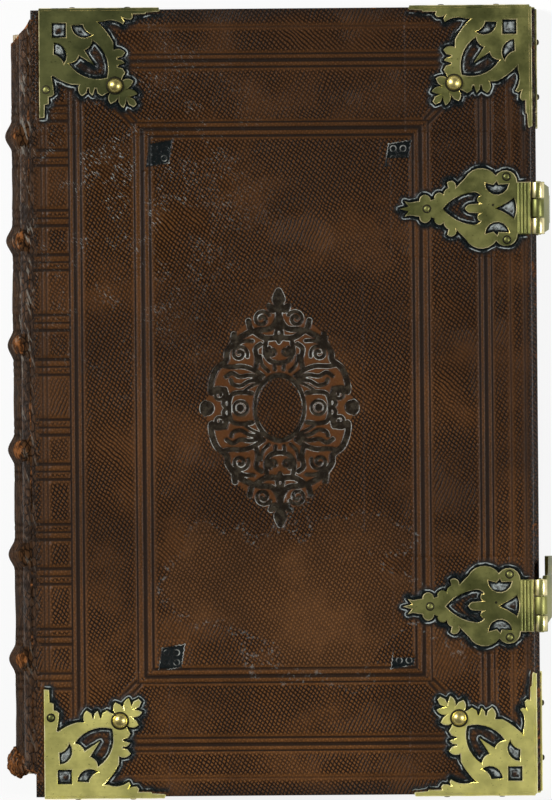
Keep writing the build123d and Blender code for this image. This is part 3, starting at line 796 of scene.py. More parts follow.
def wrapRim(bm, width):  # rings from the face over the rounded edge down to the turn-in and under the lining
    loop, r, turnIn = rimLoop(bm), sheet["edgeRound"], sheet["edgeRound"] - sheet["turnIn"]
    easedIn, easedUp = sheet["eased"]
    rings = [(r * math.sin(math.radians(a)), -r * (1 - math.cos(math.radians(a)))) for a in (30, 60, 90)]
    rings += [(r, easedUp - coverThick), (r - easedIn, -coverThick)]
    rings += [(turnIn, -coverThick), (turnIn, sheet["lining"] - coverThick)]
    previous = loop
    for out, z in rings:
        ring = []
        for vert in loop:
            x, y = vert.co.x, vert.co.y
            onFore, onHead = x > width - r - 1e-4, abs(y) > headY - r - 1e-4
            x = min(x + out if onFore else x, width - r + out)
            limit = headY - r + out
            y = math.copysign(limit, y) if onHead else max(-limit, min(limit, y))
            ring.append(bm.verts.new((x, y, z)))
        for a, b, c, d in zip(previous, previous[1:] + previous[:1], ring[1:] + ring[:1], ring):
            bm.faces.new((a, d, c, b))
        previous = ring
    bm.faces.new(previous[::-1])
    bm.verts.index_update()


def flatPlaces(bm):
    return np.array([p.co.x for p in bm.verts]), np.array([p.co.y for p in bm.verts])


def coverSheet(side):
    cover = covers[side]
    width, inset = cover["width"], sheet["edgeRound"]
    lines = [[(line[1], line[5]) for line in toolLines(width) if line[0] == axis] for axis in (0, 1)]
    columns = gridPlaces(sheet["start"], width - inset, lines[0])
    rows = gridPlaces(inset - headY, headY - inset, lines[1])
    bm = bmesh.new()
    across = len(columns)
    verts = [bm.verts.new((u, v, 0)) for v in rows for u in columns]
    for j in range(len(rows) - 1):
        for i in range(across - 1):
            k = j * across + i
            bm.faces.new((verts[k], verts[k + 1], verts[k + across + 1], verts[k + across]))
    cutAlong(bm, width)
    bm.verts.ensure_lookup_table()
    u, v = flatPlaces(bm)
    height = sheetHeight(side, u, v, lineTraits(u, v, width)["pressed"])
    for place in stampPlaces(side) + bedPlaces(side):  # sunk where a finer piece lies over it
        height -= sheet["sunk"] * smoothstep(*sheet["sunkFrom"], borderOf(u, v, *place))
    for vert, h in zip(bm.verts, height):
        vert.co.z = h
    wrapRim(bm, width)
    points = [inBoard(side, *p.co) for p in bm.verts]
    faces = [[p.index for p in f.verts] for f in bm.faces]
    traits = boardTraits(side, *flatPlaces(bm))
    traits["pressed"][len(u):] = 0
    bm.free()
    piece = finishPiece(f"{side}CoverLeather", points, faces, coverLeather, traits)
    return carried(piece, cover["body"], f"{side}_cover_leather")


def insidePath(x, y, path):
    inside = np.zeros(len(x), bool)
    for (x0, y0), (x1, y1) in zip(path, path[1:] + path[:1]):
        if y0 != y1:
            inside ^= ((y0 > y) != (y1 > y)) & (x < (x1 - x0) * (y - y0) / (y1 - y0) + x0)
    return inside


def patchGrid(place, step):
    lowU, highU, lowV, highV = place
    us = np.linspace(lowU, highU, int((highU - lowU) / step) + 1)
    vs = np.linspace(lowV, highV, int((highV - lowV) / step) + 1)
    u, v = (grid.ravel() for grid in np.meshgrid(us, vs))
    return u, v, borderOf(u, v, *place), len(us), len(vs)


def closedPatch(place, u, v, height, wide, tall, traits):  # a fine sheet with its sides and underside
    points = [place(a, b, h) for a, b, h in zip(u, v, height)]
    faces = [(j * wide + i, j * wide + i + 1, (j + 1) * wide + i + 1, (j + 1) * wide + i)
             for j in range(tall - 1) for i in range(wide - 1)]
    loop = [*range(wide), *(j * wide + wide - 1 for j in range(1, tall)),
            *range(tall * wide - 2, (tall - 1) * wide - 1, -1), *(j * wide for j in range(tall - 2, 0, -1))]
    under = {k: len(points) + n for n, k in enumerate(loop)}
    points += [place(u[k], v[k], -sheet["under"]) for k in loop]
    faces += [(b, a, under[a], under[b]) for a, b in zip(loop, loop[1:] + loop[:1])]
    faces.append([under[k] for k in reversed(loop)])
    return points, faces, {key: np.concatenate([value, np.zeros(len(loop))]) for key, value in traits.items()}


stamped = {"margin": 2.2, "lift": 0.12, "rimSunk": 0.3, "groundLift": 0.1, "grime": 0.95}


def stampedPieces(side):
    patches = []
    for k, place in enumerate(stampPlaces(side)):
        u, v, border, wide, tall = patchGrid(place, sheet["fineStep"])
        x, y = u - (place[0] + place[1]) / 2, v - (place[2] + place[3]) / 2
        traits = boardTraits(side, u, v)
        ground = np.zeros(len(u))
        if k == 0:
            x, y = x / medallion["scale"], y / medallion["scale"]
            stamp, depth = strapworkPress(x, y), medallion["depth"]
            ground = (insidePath(x, y, groundPath) & (inOval(x, y) >= 1)).astype(float)
        else:
            stamp, depth = fleuronPress(x, y), tooling["depth"] * fleuron["deeper"]
            traits["grime"] = np.maximum(traits["grime"], stamped["grime"] * smoothstep(0.1, 0.5, stamp))
        far = smoothstep(0, stamped["margin"], border)
        height = sheetHeight(side, u, v, traits["pressed"]) - depth * stamp
        height = height + stamped["lift"] * far - stamped["rimSunk"] * (1 - far) + stamped["groundLift"] * ground
        traits.update(stamp=stamp, ground=ground)
        patches.append(closedPatch(lambda a, b, h: inBoard(side, a, b, h), u, v, height, wide, tall, traits))
    points, faces, traits = joinedPatches(patches)
    piece = finishPiece(f"{side}Stamps", points, faces, coverLeather, traits)
    return carried(piece, covers[side]["body"])


for side in covers:
    print("stamped leather", side, len(stampedPieces(side).data.polygons), "faces")
    print("cover leather", side, len(coverSheet(side).data.polygons), "faces")


# spine: rounded back with raised bands, crackled and torn short at head and tail

spine = {
    "bulge": 11.3, "shoulder": 6.0, "bandRise": 3.3, "bandHalf": 8.0, "girth": 118.0, "leather": 1.2, "step": 1.25,
    "around": 84, "lineDepth": 0.35, "lineHalf": 0.55, "dent": 0.35, "sunk": 0.3, "tornRim": 2.8,
    "bandStart": 0.045, "clear": (0.18, 0.7), "wornFrom": (0.80, 0.86), "wornTo": (0.955, 0.985),
    "creaseGlintFrom": (0.78, 0.92),
    "headLoss": (4.5, 17.0), "tailLoss": (11.0, 17.0), "headTear": (0.8, 22, 1.7), "tailTear": (2.2, 26, 6.1),
}
wornTraits = ("pressed", "grime", "warm", "raw", "creaseGlint")


def spineSection(t):  # place and outward direction, t from 0 at the back joint to 1 at the front joint
    shoulder, rise = spine["shoulder"], midHalf - spine["shoulder"]
    wide = (spine["bulge"] ** 2 + rise ** 2 - shoulder ** 2) / (2 * (spine["bulge"] - shoulder))
    half = math.asin(rise / (wide - shoulder))
    wideLength, shoulderLength = wide * half, shoulder * (math.pi / 2 - half)
    s = abs(t * 2 - 1) * (wideLength + shoulderLength)
    sign = 1 if t >= 0.5 else -1
    onBack = s <= wideLength
    a = s / wide if onBack else half + (s - wideLength) / shoulder
    normal = Vector((-math.cos(a), sign * math.sin(a)))
    if onBack:
        return Vector((jointX - spine["bulge"] + wide, midZ)) + normal * wide, normal
    return Vector((jointX, midZ + sign * rise)) + normal * shoulder, normal


def bandProfile(y):  # height of the raised bands, with soft shoulders
    away = min(abs(y - place) for place in bandPlaces)
    t = min(away / spine["bandHalf"], 1.0)
    return (0.5 + 0.5 * math.cos(math.pi * t)) ** 0.85


def bandTooling(y):  # how far the nearest band is, and the lines pressed beside it
    near = min(abs(y - place) for place in bandPlaces)
    return near, max(hump(near, line, spine["lineHalf"]) for line in tooling["bandLines"])


def tornEnds(out, t):  # where the leather ends at tail and head, by how far out from the joint it lies
    share = max(0.0, out / spine["bulge"]) ** 0.75
    loss = {}
    for end in ends:
        (least, most), (ragged, often, seed) = spine[end + "Loss"], spine[end + "Tear"]
        loss[end] = least + (most - least) * share + ragged * roughAt(t * often, seed, 0, 4)
    return loss["tail"] - headY, headY - loss["head"]


def creaseGlintShare(y):  # share of painted highlight on the creases, most towards the head
    return 0.3 + 0.7 * smoothstep(-70, 70, y)


def wornPiece(name, points, faces, material, rows):
    return finishPiece(name, points, faces, material, dict(zip(wornTraits, zip(*rows))))


def spinePiece():
    count, around = int(2 * headY / spine["step"]), spine["around"]
    points, rows = [], []
    for layer in (0, 1):
        for j in range(count + 1):
            for t in (i / around for i in range(around + 1)):
                place, normal = spineSection(t)
                low, high = tornEnds(jointX - place.x, t)
                y = low + (high - low) * j / count
                toJoint = min(t, 1 - t)
                band = bandProfile(y) * min(1.0, toJoint / spine["bandStart"]) ** 0.6
                near, lines = bandTooling(y)
                lift = spine["bandRise"] * band * (0.93 + 0.1 * noise.noise(Vector((y * 0.07, t * 5, 2))))
                reach = toJoint * spine["girth"]  # an opened cover lies close here, so bands start low
                turned = min(reach / spine["shoulder"], math.pi / 2)
                slope, bend = spine["clear"]
                lift = min(lift, slope * reach + bend * spine["shoulder"] * (1 - math.cos(turned)))
                dent = roughAt(place.x * 0.05, y * 0.05, place.y * 0.05) * spine["dent"]
                lift += (dent - spine["sunk"]) * min(1.0, toJoint / 0.06) - spine["lineDepth"] * lines * (1 - band)
                lift -= spine["leather"] * layer * (1.0 if 0 < j < count else 0.75)
                points.append((place.x + normal.x * lift, y, place.y + normal.y * lift))
                worn = roughAt(t * 9, y * 0.05, 4.4)
                frontSide = smoothstep(*spine["wornFrom"], t) * (1 - smoothstep(*spine["wornTo"], t))
                torn = 1 - smoothstep(0, spine["tornRim"], min(y - low, high - y))
                raw = max(torn, 1.25 * band * frontSide * (0.55 + worn) * (near < 7), layer)
                # painted highlight on the creases, most on the front side and towards the head
                creaseGlint = (0.12 + 0.88 * smoothstep(*spine["creaseGlintFrom"], t)) * creaseGlintShare(y)
                rows.append((lines * (1 - band), np.clip(0.15 + 0.5 * worn, 0, 0.6), 0.4 + 0.6 * band, raw, creaseGlint))
    piece = wornPiece("spineLeather", points, shellFaces(around, count), spineLeather, rows)
    return carried(piece, "book_block", "spine_leather")


print("spine", len(spinePiece().data.polygons), "faces")


# the torn leather at the tail has curled back on itself, flesh side out

curl = {
    "along": 120, "around": 26, "size": (5.6, 3.4), "out": 0.8, "sunk": 0.6, "up": 0.8, "span": (0.04, 0.92),
    "lumps": 0.55,
}


def tailRoll():
    along, around = curl["along"], curl["around"]
    points, rows = [], []
    for i in range(along + 1):
        t = curl["span"][0] + curl["span"][1] * i / along
        place, normal = spineSection(t)
        low = tornEnds(jointX - place.x, t)[0]
        taper = math.sin(math.pi * i / along) ** 0.3
        for k in range(around):
            a = 2 * math.pi * k / around
            x, z = math.cos(a), math.sin(a)
            lump = 1 + curl["lumps"] * noise.fractal(Vector((t * 30, x * 0.9, z * 0.9)), 0.9, 2.0, 4)
            y = low + curl["up"] + curl["size"][0] * taper * lump * x
            lift = curl["out"] * taper + curl["size"][1] * taper * lump * z - curl["sunk"]
            points.append((place.x + normal.x * lift, y, place.y + normal.y * lift))
            rows.append((0.0, 0.2, 0.8, 0.75 + 0.5 * roughAt(t * 24, x, 7 + z), 0.3))
    faces = [(i * around + k, i * around + (k + 1) % around, (i + 1) * around + (k + 1) % around, (i + 1) * around + k)
             for i in range(along) for k in range(around)]
    faces += [list(range(around))[::-1], [along * around + k for k in range(around)]]
    carried(wornPiece("tailRoll", points, faces, spineLeather, rows), "book_block")


tailRoll()


# joints: thin leather that carries on from the spine over each hinge on to its cover

jointStrip = {
    "onSpine": 8.0, "onCover": 3.4, "lift": 0.28, "thick": 0.7, "step": 2.0, "across": 18, "short": 0.4,
    "crease": (-1.2, 0.9, 0.45), "fold": (1.6, 0.6, 0.22), "band": (-5, 4.5, 0.75), "bandWear": 3, "crack": 0.7,
    "tornRim": 2.4, "uneven": 0.16, "rimSunk": 0.45, "bend": (-3.5, 2.0),
}


def hingeLeather(side):
    out, shoulder = covers[side]["out"], spine["shoulder"]
    count, across = int(2 * headY / jointStrip["step"]), jointStrip["across"]
    length = jointStrip["onSpine"] + jointStrip["onCover"]
    (creaseAt, creaseWide, creaseDeep), (foldAt, foldWide, foldDeep) = jointStrip["crease"], jointStrip["fold"]
    bandAt, bandWide, bandHigh = jointStrip["band"]
    points, rows = [], []
    for layer in (0, 1):
        for j in range(count + 1):
            for i in range(across + 1):
                s = length * i / across - jointStrip["onSpine"]  # from the joint, below 0 on the spine
                outward = shoulder * math.sin(min(-s / shoulder, 1.57)) if s < 0 else 0
                low, high = tornEnds(outward, 0.5 + 0.49 * out + 0.006 * s * out)
                y = low + jointStrip["short"] + (high - low - 2 * jointStrip["short"]) * j / count
                rim = math.sin(math.pi * i / across) ** 0.35
                if s < 0:
                    a = min(-s / shoulder, math.pi / 2)
                    normal = Vector((-math.sin(a), math.cos(a)))
                    base = Vector((jointX, midHalf - shoulder)) + normal * shoulder
                else:
                    normal, base = Vector((0, 1)), Vector((jointX + s, midHalf))
                band, lines = bandProfile(y), bandTooling(y)[1]
                crease = creaseDeep * hump(s, creaseAt, creaseWide) + foldDeep * hump(s, foldAt, foldWide)
                lift = jointStrip["lift"] * rim + bandHigh * band * rim * hump(s, bandAt, bandWide) - crease
                lift += jointStrip["uneven"] * roughAt(s * 0.4, y * 0.11, out) * rim - jointStrip["rimSunk"] * (1 - rim)
                place = base + normal * (lift - jointStrip["thick"] * layer)
                points.append((place.x, y, midZ + out * place.y))
                worn = roughAt(s * 0.12, y * 0.045, 2.4 * out, 4)
                cracked = smoothstep(0.05, 0.4, worn + (0.6 if y < -118 else 0.15 if y < 0 else -0.1))
                crack = hump(s, creaseAt, jointStrip["crack"]) * cracked
                torn = 1 - smoothstep(0, jointStrip["tornRim"], min(y - low, high - y))
                raw = max(torn, 0.9 * crack, 0.8 * band * hump(s, bandAt, jointStrip["bandWear"]) * (0.45 + worn))
                pressed = max(0.9 * lines, 0.7 * hump(s, creaseAt, creaseWide))
                rows.append((pressed, np.clip(0.1 + 0.4 * worn, 0, 0.6), 0.6, raw, 0.75 * creaseGlintShare(y)))
    piece = wornPiece(f"{side}HingeLeather", points, shellFaces(across, count), jointLeather, rows)
    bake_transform(piece)


for side in covers:
    hingeLeather(side)
print("hinge leather")


# brass outlines, each in its own flat frame: corners from the board's corner inwards, plates from the fore edge inwards

cornerShape = {
    "arm": 62.0, "thick": 1.2, "sunk": 0.7, "bevel": 0.42, "flange": 1.0, "flangeSunk": 0.5, "flangeBevel": 0.3,
    "square": (0.166, 0.117), "stud": 38.6, "crisp": 0.088, "sharp": 34,
}
plateShape = {
    "long": 66.8, "half": 20.4, "hingeWidth": 26.6, "knuckle": 3.4, "middleKnuckle": 9.0, "gap": 0.45, "bore": 1.5,
    "ease": 0.35,
}


def throughLobes(steps, pieces=7, crisp=0.0):  # straight runs, and lobes given by a point on them and their end
    path = []
    for step in steps:
        if not isinstance(step[0], tuple):
            path.append(step)
            continue
        start, by, end = Vector(path[-1]), Vector(step[0]), Vector(step[1])
        d = 2 * (start.x * (by.y - end.y) + by.x * (end.y - start.y) + end.x * (start.y - by.y))
        s, b, e = start.length_squared, by.length_squared, end.length_squared
        centre = Vector(((s * (by.y - end.y) + b * (end.y - start.y) + e * (start.y - by.y)) / d,
                         (s * (end.x - by.x) + b * (start.x - end.x) + e * (by.x - start.x)) / d))
        first, middle, last = (math.atan2((p - centre).y, (p - centre).x) for p in (start, by, end))
        turn = (last - first) % (2 * math.pi)
        if (middle - first) % (2 * math.pi) > turn:
            turn -= 2 * math.pi
        radius = (start - centre).length
        runs = 2 if (end - start).length < crisp else pieces  # short leaves are cut straight
        for a in (first + turn * i / runs for i in range(1, runs + 1)):
            path.append(tuple(centre + radius * Vector((math.cos(a), math.sin(a)))))
    return path


def sized(path, along, across):
    return [(x * along, y * across) for x, y in path]


def swapped(path):
    return [(y, x) for x, y in reversed(path)]


def flipped(path):
    return [(x, -y) for x, y in reversed(path)]


cornerLeaves = [
    (0.613, 0.330), ((0.664, 0.322), (0.708, 0.352)), ((0.682, 0.388), (0.642, 0.398)), (0.643, 0.407),
    ((0.678, 0.412), (0.705, 0.438)), ((0.674, 0.450), (0.645, 0.459)), (0.646, 0.470),
    ((0.690, 0.484), (0.708, 0.516)),
    ((0.688, 0.548), (0.672, 0.592)), ((0.718, 0.566), (0.773, 0.586)), ((0.752, 0.628), (0.722, 0.652)),
    ((0.768, 0.656), (0.806, 0.694)), ((0.772, 0.708), (0.738, 0.716)), ((0.786, 0.742), (0.800, 0.776)),
    (0.788, 0.788),
]
cornerArms = {
    "fore": [
        (0.988, 0.0), ((0.996, 0.010), (0.985, 0.019)), (0.882, 0.026), (0.876, 0.037), (0.768, 0.039),
        ((0.774, 0.064), (0.756, 0.083)), ((0.718, 0.080), (0.690, 0.070)), ((0.705, 0.096), (0.693, 0.122)),
        ((0.664, 0.104), (0.520, 0.099)), (0.484, 0.099), ((0.570, 0.198), (0.611, 0.267)),
    ],
    "spine": [  # the spine corners' arm beside the joint is shorter and broader
        (0.884, 0.0), (0.882, 0.042), (0.778, 0.045), (0.768, 0.078), (0.712, 0.078), ((0.706, 0.108), (0.690, 0.124)),
        (0.603, 0.114), (0.545, 0.103), (0.538, 0.116), ((0.585, 0.195), (0.611, 0.267)),
    ],
}
arm, (squareAt, squareWide) = cornerShape["arm"], cornerShape["square"]
cornerHalves = {edge: throughLobes(steps + cornerLeaves, 5, cornerShape["crisp"]) for edge, steps in cornerArms.items()}
cornerOuters = {
    edge: sized([(0.0, 0.0)] + cornerHalves["fore"] + swapped(cornerHalves[edge][:-1]), arm, arm) for edge in edges
}
leafWindow = throughLobes([
    (0.268, 0.126), (0.362, 0.122), ((0.384, 0.168), (0.440, 0.205)), ((0.338, 0.222), (0.269, 0.129)),
])
heartHalf = throughLobes([
    (0.457, 0.457), (0.417, 0.395), (0.375, 0.330), ((0.420, 0.300), (0.439, 0.248)), ((0.545, 0.372), (0.558, 0.558)),
])
squareHole = [(squareAt + a * squareWide / 2, squareAt + b * squareWide / 2)
              for a, b in ((-1, -1), (1, -1), (1, 1), (-1, 1))]
cornerHoles = [leafWindow, swapped(leafWindow), heartHalf + swapped(heartHalf[1:-1]), squareHole]
cornerHoles = [sized(path, arm, arm) for path in cornerHoles]


def onPlate(steps):  # clasp plate steps given as shares of its length and half width
    out = []
    for step in steps:
        points = sized(step if isinstance(step[0], tuple) else [step], plateShape["long"], plateShape["half"])
        out.append(tuple(points) if len(points) > 1 else points[0])
    return throughLobes(out)


plateHalf = onPlate([
    (0.0, 0.652), (0.103, 0.652), ((0.176, 0.940), (0.266, 0.815)), ((0.385, 1.003), (0.498, 0.767)), (0.569, 0.529),
    ((0.592, 0.684), (0.638, 0.651)), (0.628, 0.517), ((0.651, 0.462), (0.665, 0.350)),
    ((0.706, 0.398), (0.734, 0.244)),
    (0.7615, 0.214), ((0.808, 0.352), (0.850, 0.196)), (0.923, 0.160), (0.962, 0.190), (0.9305, 0.062), (1.0, 0.0),
])
heart = onPlate([
    (0.672, 0.0), ((0.555, 0.300), (0.451, 0.400)), ((0.412, 0.392), (0.384, 0.318)), ((0.408, 0.25), (0.388, 0.125)),
    (0.470, 0.105), ((0.49, 0.06), (0.502, 0.0)),
])
moon = onPlate([
    (0.168, 0.602), (0.247, 0.590), (0.2585, 0.676), (0.286, 0.580), (0.349, 0.636), ((0.2546, 0.338), (0.169, 0.594)),
])
triangle = onPlate([
    (0.270, 0.0), ((0.205, 0.10), (0.130, 0.262)), ((0.112, 0.0), (0.130, -0.262)), ((0.205, -0.10), (0.269, -0.004)),
])
plateOuter = plateHalf + flipped(plateHalf[:-1])
plateHoles = [heart + flipped(heart[1:-1]), moon, flipped(moon), triangle]
foldLine = throughLobes([
    (0, 0), (61, 0), ((60.4, -3.2), (57.2, -4.0)), ((54.6, -4.4), (53.4, -6.6)), ((51.4, -9.0), (48, -9.0)), (0, -9.0),
], 5)


def cornerFrame(side, end, edge):  # (u, v, height) of a corner piece to its place in the book
    lo, hi = nodeBox(f"{side}_{end}_{edge}_corner")
    x, along = (lo.x, 1) if edge == "spine" else (hi.x - cornerShape["flange"], -1)
    y, up = (hi.y - cornerShape["flange"], -1) if end == "head" else (lo.y + cornerShape["flange"], 1)
    cover = covers[side]
    return lambda u, v, h: (x + along * u, y + up * v, cover["z"] + cover["out"] * h)


def plateFrame(level):
    lo, hi = nodeBox(f"{level}_clasp_plate")
    y = (lo.y + hi.y) / 2
    return lambda u, v, h: (frontHi.x - u, y + v, frontZ + h)


def cutSheet(loops, thick, bevel):  # flat sheet with openings and rounded rims, as points and faces, its top at thick
    curve = bpy.data.curves.new("sheet", "CURVE")
    curve.dimensions = "2D"
    curve.fill_mode = "BOTH"
    curve.extrude = thick / 2 - bevel
    curve.bevel_depth = bevel
    curve.bevel_resolution = 0
    curve.offset = -bevel
    for loop in loops:
        spline = curve.splines.new("POLY")
        spline.points.add(len(loop) - 1)
        spline.points.foreach_set("co", [c for x, y in loop for c in (x, y, 0, 1)])
        spline.use_cyclic_u = True
    holder = newPiece("sheet", curve)
    bpy.context.view_layer.update()
    mesh = bpy.data.meshes.new_from_object(holder.evaluated_get(bpy.context.evaluated_depsgraph_get()))
    points = [(v.co.x, v.co.y, v.co.z + thick / 2) for v in mesh.vertices]
    faces = [list(f.vertices) for f in mesh.polygons]
    bpy.data.objects.remove(holder)
    bpy.data.curves.remove(curve)
    bpy.data.meshes.remove(mesh)
    return points, faces


brassThick = cornerShape["thick"] + cornerShape["sunk"]
cornerSheets = {edge: cutSheet([cornerOuters[edge]] + cornerHoles, brassThick, cornerShape["bevel"]) for edge in edges}
plateSheet = cutSheet([plateOuter] + plateHoles, brassThick, cornerShape["bevel"])
foldSheet = cutSheet([foldLine], cornerShape["flange"] + cornerShape["flangeSunk"], cornerShape["flangeBevel"])


def brassPiece(name, parts, material, body, node):
    piece = finishPiece(name, *joined(parts), material, sharpAngle=cornerShape["sharp"])
    paintedRimFaces = piece.data.attributes.new("rim", "FLOAT", "FACE")  # the sloping faces, which get a painted highlight
    paintedRimFaces.data.foreach_set("value", [1.0 if 0.4 < abs(f.normal.z) < 0.95 else 0.0 for f in piece.data.polygons])
    carried(piece, body, node)


def cornerPiece(side, end, edge, material):
    place, (points, faces), (fold, foldFaces) = cornerFrame(side, end, edge), cornerSheets[edge], foldSheet
    top, within = cornerShape["thick"], cornerShape["flangeSunk"]
    parts = [([place(u, v, h - cornerShape["sunk"]) for u, v, h in points], faces)]
    # folded strips: over the head or tail edge, and over the fore edge where there is one
    parts.append(([place(u, within - h, v + top) for u, v, h in fold], foldFaces))
    if edge == "fore":
        parts.append(([place(within - h, u, v + top) for u, v, h in fold], foldFaces))
    name = f"{side}{end.title()}{edge.title()}Corner"
    brassPiece(name, parts, material, covers[side]["body"], f"{side}_{end}_{edge}_corner")


# leather beside and under the brass: it swells up along the metal and through its openings

swell = {
    "step": 0.62, "lift": 0.14, "lip": 0.7, "lipAt": 1.7, "lipWide": 0.7, "dip": 0.45, "dipWide": 0.6, "pillow": 1.0,
    "pillowWide": 1.6, "pillowSunk": 0.15, "margin": 2.2, "under": 0.5, "rimSunk": 0.4, "smallOpening": 110,
}


def pathAway(x, y, path):
    best = np.full(len(x), 99.0)
    for (x0, y0), (x1, y1) in zip(path, path[1:] + path[:1]):
        dx, dy = x1 - x0, y1 - y0
        t = np.clip(((x - x0) * dx + (y - y0) * dy) / (dx * dx + dy * dy + 1e-9), 0, 1)
        best = np.minimum(best, np.hypot(x - x0 - t * dx, y - y0 - t * dy))
    return best


def brassAway(x, y, outer, holes):  # distance outside the metal, below 0 in it, and where its openings are
    within = insidePath(x, y, outer)
    away = np.where(within, -1, 1) * pathAway(x, y, outer)
    opening = np.zeros(len(x))
    for hole in holes:
        hollow = insidePath(x, y, hole)
        edge = pathAway(x, y, hole)
        away = np.where(hollow, edge, np.where(within, np.maximum(away, -edge), away))
        twiceArea = abs(sum(x0 * y1 - x1 * y0 for (x0, y0), (x1, y1) in zip(hole, hole[1:] + hole[:1])))
        opening = np.where(hollow, 1.0 if twiceArea < swell["smallOpening"] else 0.45, opening)
    return away, opening


def swollenPatch(side, place, reach, outer, holes):
    u, v, border, wide, tall = patchGrid(reach, swell["step"])
    away, opening = brassAway(u, v, outer, holes)
    spots = np.array([place(a, b, 0)[:2] for a, b in zip(u, v)])
    boardU, boardV = spots[:, 0] - jointX, spots[:, 1]
    traits = boardTraits(side, boardU, boardV)
    traits["pressed"] *= smoothstep(1.0, 4.0, away)
    crest = np.exp(-((away - swell["lipAt"]) / swell["lipWide"]) ** 2)
    ragged = 0.75 + 0.5 * roughness2d(u, v, 0.16, 2.2)
    beyond = np.maximum(away, 0)
    outside = swell["lift"] + swell["lip"] * crest * ragged - swell["dip"] * np.exp(-(beyond / swell["dipWide"]) ** 2)
    pillow = swell["pillow"] * (1 - np.exp(-(beyond / swell["pillowWide"]) ** 2)) * ragged - swell["pillowSunk"]
    lift = np.where(away < 0, -swell["under"], np.where(opening > 0, pillow, outside))
    far = smoothstep(0, swell["margin"], border)
    height = sheetHeight(side, boardU, boardV, traits["pressed"]) + lift * far - swell["rimSunk"] * (1 - far)
    traits.update(away=beyond, opening=opening, bed=far * smoothstep(-0.4, 1.0, u))
    return closedPatch(place, u, v, height, wide, tall, traits)


for side in covers:
    patches = []
    for end in ends:
        for edge in edges:
            reach = (-bed["spineSide"] if edge == "spine" else bed["inset"], bed["reach"], bed["inset"], bed["reach"])
            patches.append(swollenPatch(side, cornerFrame(side, end, edge), reach, cornerOuters[edge], cornerHoles))
    for level in levels if side == "front" else ():
        reach = (bed["inset"], bed["plateLong"], -bed["plateHalf"], bed["plateHalf"])
        patches.append(swollenPatch(side, plateFrame(level), reach, plateOuter, plateHoles))
    points, faces, traits = joinedPatches(patches)
    carried(finishPiece(f"{side}BrassBed", points, faces, coverLeather, traits), covers[side]["body"])
    print("leather under the brass", side, len(faces), "faces")

# the corners' brass is painted darker at the head and lighter at the tail: painted shade and painted light
cornerTones = {
    ("head", "spine"): "headBrass", ("head", "fore"): "claspBrass", ("tail", "spine"): "tailBrass",
    ("tail", "fore"): "tailBrass",
}
for side in covers:
    for (end, edge), tone in cornerTones.items():
        cornerPiece(side, end, edge, brass[tone])
print("corner pieces")


# clasps: pierced plates rolled into knuckles, and the arms, catches and pins from the solids

def turned(centre, along, profile, sides=28):  # lathe shape about a line through centre: (distance along, radius)
    axis = Vector(along).normalized()
    right = axis.orthogonal().normalized()
    up = axis.cross(right)
    points = [tuple(Vector(centre) + axis * a + (right * math.cos(t) + up * math.sin(t)) * r)
              for a, r in profile for t in (2 * math.pi * i / sides for i in range(sides))]
    faces = [(j * sides + i, j * sides + (i + 1) % sides, (j + 1) * sides + (i + 1) % sides, (j + 1) * sides + i)
             for j in range(len(profile) - 1) for i in range(sides)]
    return points, faces


def knuckle(centre, half):  # rolled tube with rounded ends and a bore for the pin
    radius, bore, e = plateShape["knuckle"], plateShape["bore"], plateShape["ease"]
    return turned(centre, (0, 1, 0), [
        (-half, bore), (-half, radius - e), (-half + e * 0.4, radius - e * 0.3), (-half + e, radius),
        (half - e, radius),
        (half - e * 0.4, radius - e * 0.3), (half, radius - e), (half, bore), (-half, bore),
    ])


def claspPlate(level, material):
    place, (points, faces) = plateFrame(level), plateSheet
    pinLo, pinHi = nodeBox(f"{level}_clasp_pin")
    pinX, pinZ, y = (pinLo.x + pinHi.x) / 2, (pinLo.z + pinHi.z) / 2, place(0, 0, 0)[1]
    parts = [([place(u, v, h - cornerShape["sunk"]) for u, v, h in points], faces)]
    middle, outer = plateShape["middleKnuckle"] / 2 + plateShape["gap"], plateShape["hingeWidth"] / 2
    for sign in (-1, 1):
        parts.append(knuckle((pinX, y + sign * (middle + outer) / 2, pinZ), (outer - middle) / 2))
    brassPiece(f"{level}ClaspPlate", parts, material, "front_cover", f"{level}_clasp_plate")


eased = {"flat": 2, "corner": 35, "arm": 0.35, "catch": 0.3}


def dressedNode(node, name, material, body, bevel):  # a CAD solid with its edges eased
    mesh = bpy.data.objects[node].data.copy()
    mesh.materials.clear()
    mesh.materials.append(material)
    piece = newPiece(name, mesh)
    tidyMesh(mesh)
    bm = bmesh.new()
    bm.from_mesh(mesh)
    bmesh.ops.dissolve_limit(bm, angle_limit=math.radians(eased["flat"]), verts=bm.verts, edges=bm.edges)
    bm.to_mesh(mesh)
    bm.free()
    ease = piece.modifiers.new("ease", "BEVEL")
    ease.width = bevel * mm
    ease.segments = 2
    ease.limit_method = "ANGLE"
    ease.angle_limit = math.radians(eased["corner"])
    bakedModifiers(piece)
    piece.data.shade_smooth()
    piece.data.set_sharp_from_angle(angle=math.radians(cornerShape["sharp"]))
    carried(piece, body, node)


claspBrass = brass["claspBrass"]
for level in levels:
    claspPlate(level, claspBrass)
for level in levels:
    dressedNode(f"{level}_clasp_arm", f"{level}ClaspArm", claspBrass, f"{level}_clasp", eased["arm"])
    dressedNode(f"{level}_catch_plate", f"{level}CatchPlate", claspBrass, "back_cover", eased["catch"])
print("clasps")


# small repeated pieces: one node tree sets domed heads on points, another sets half-round reeds

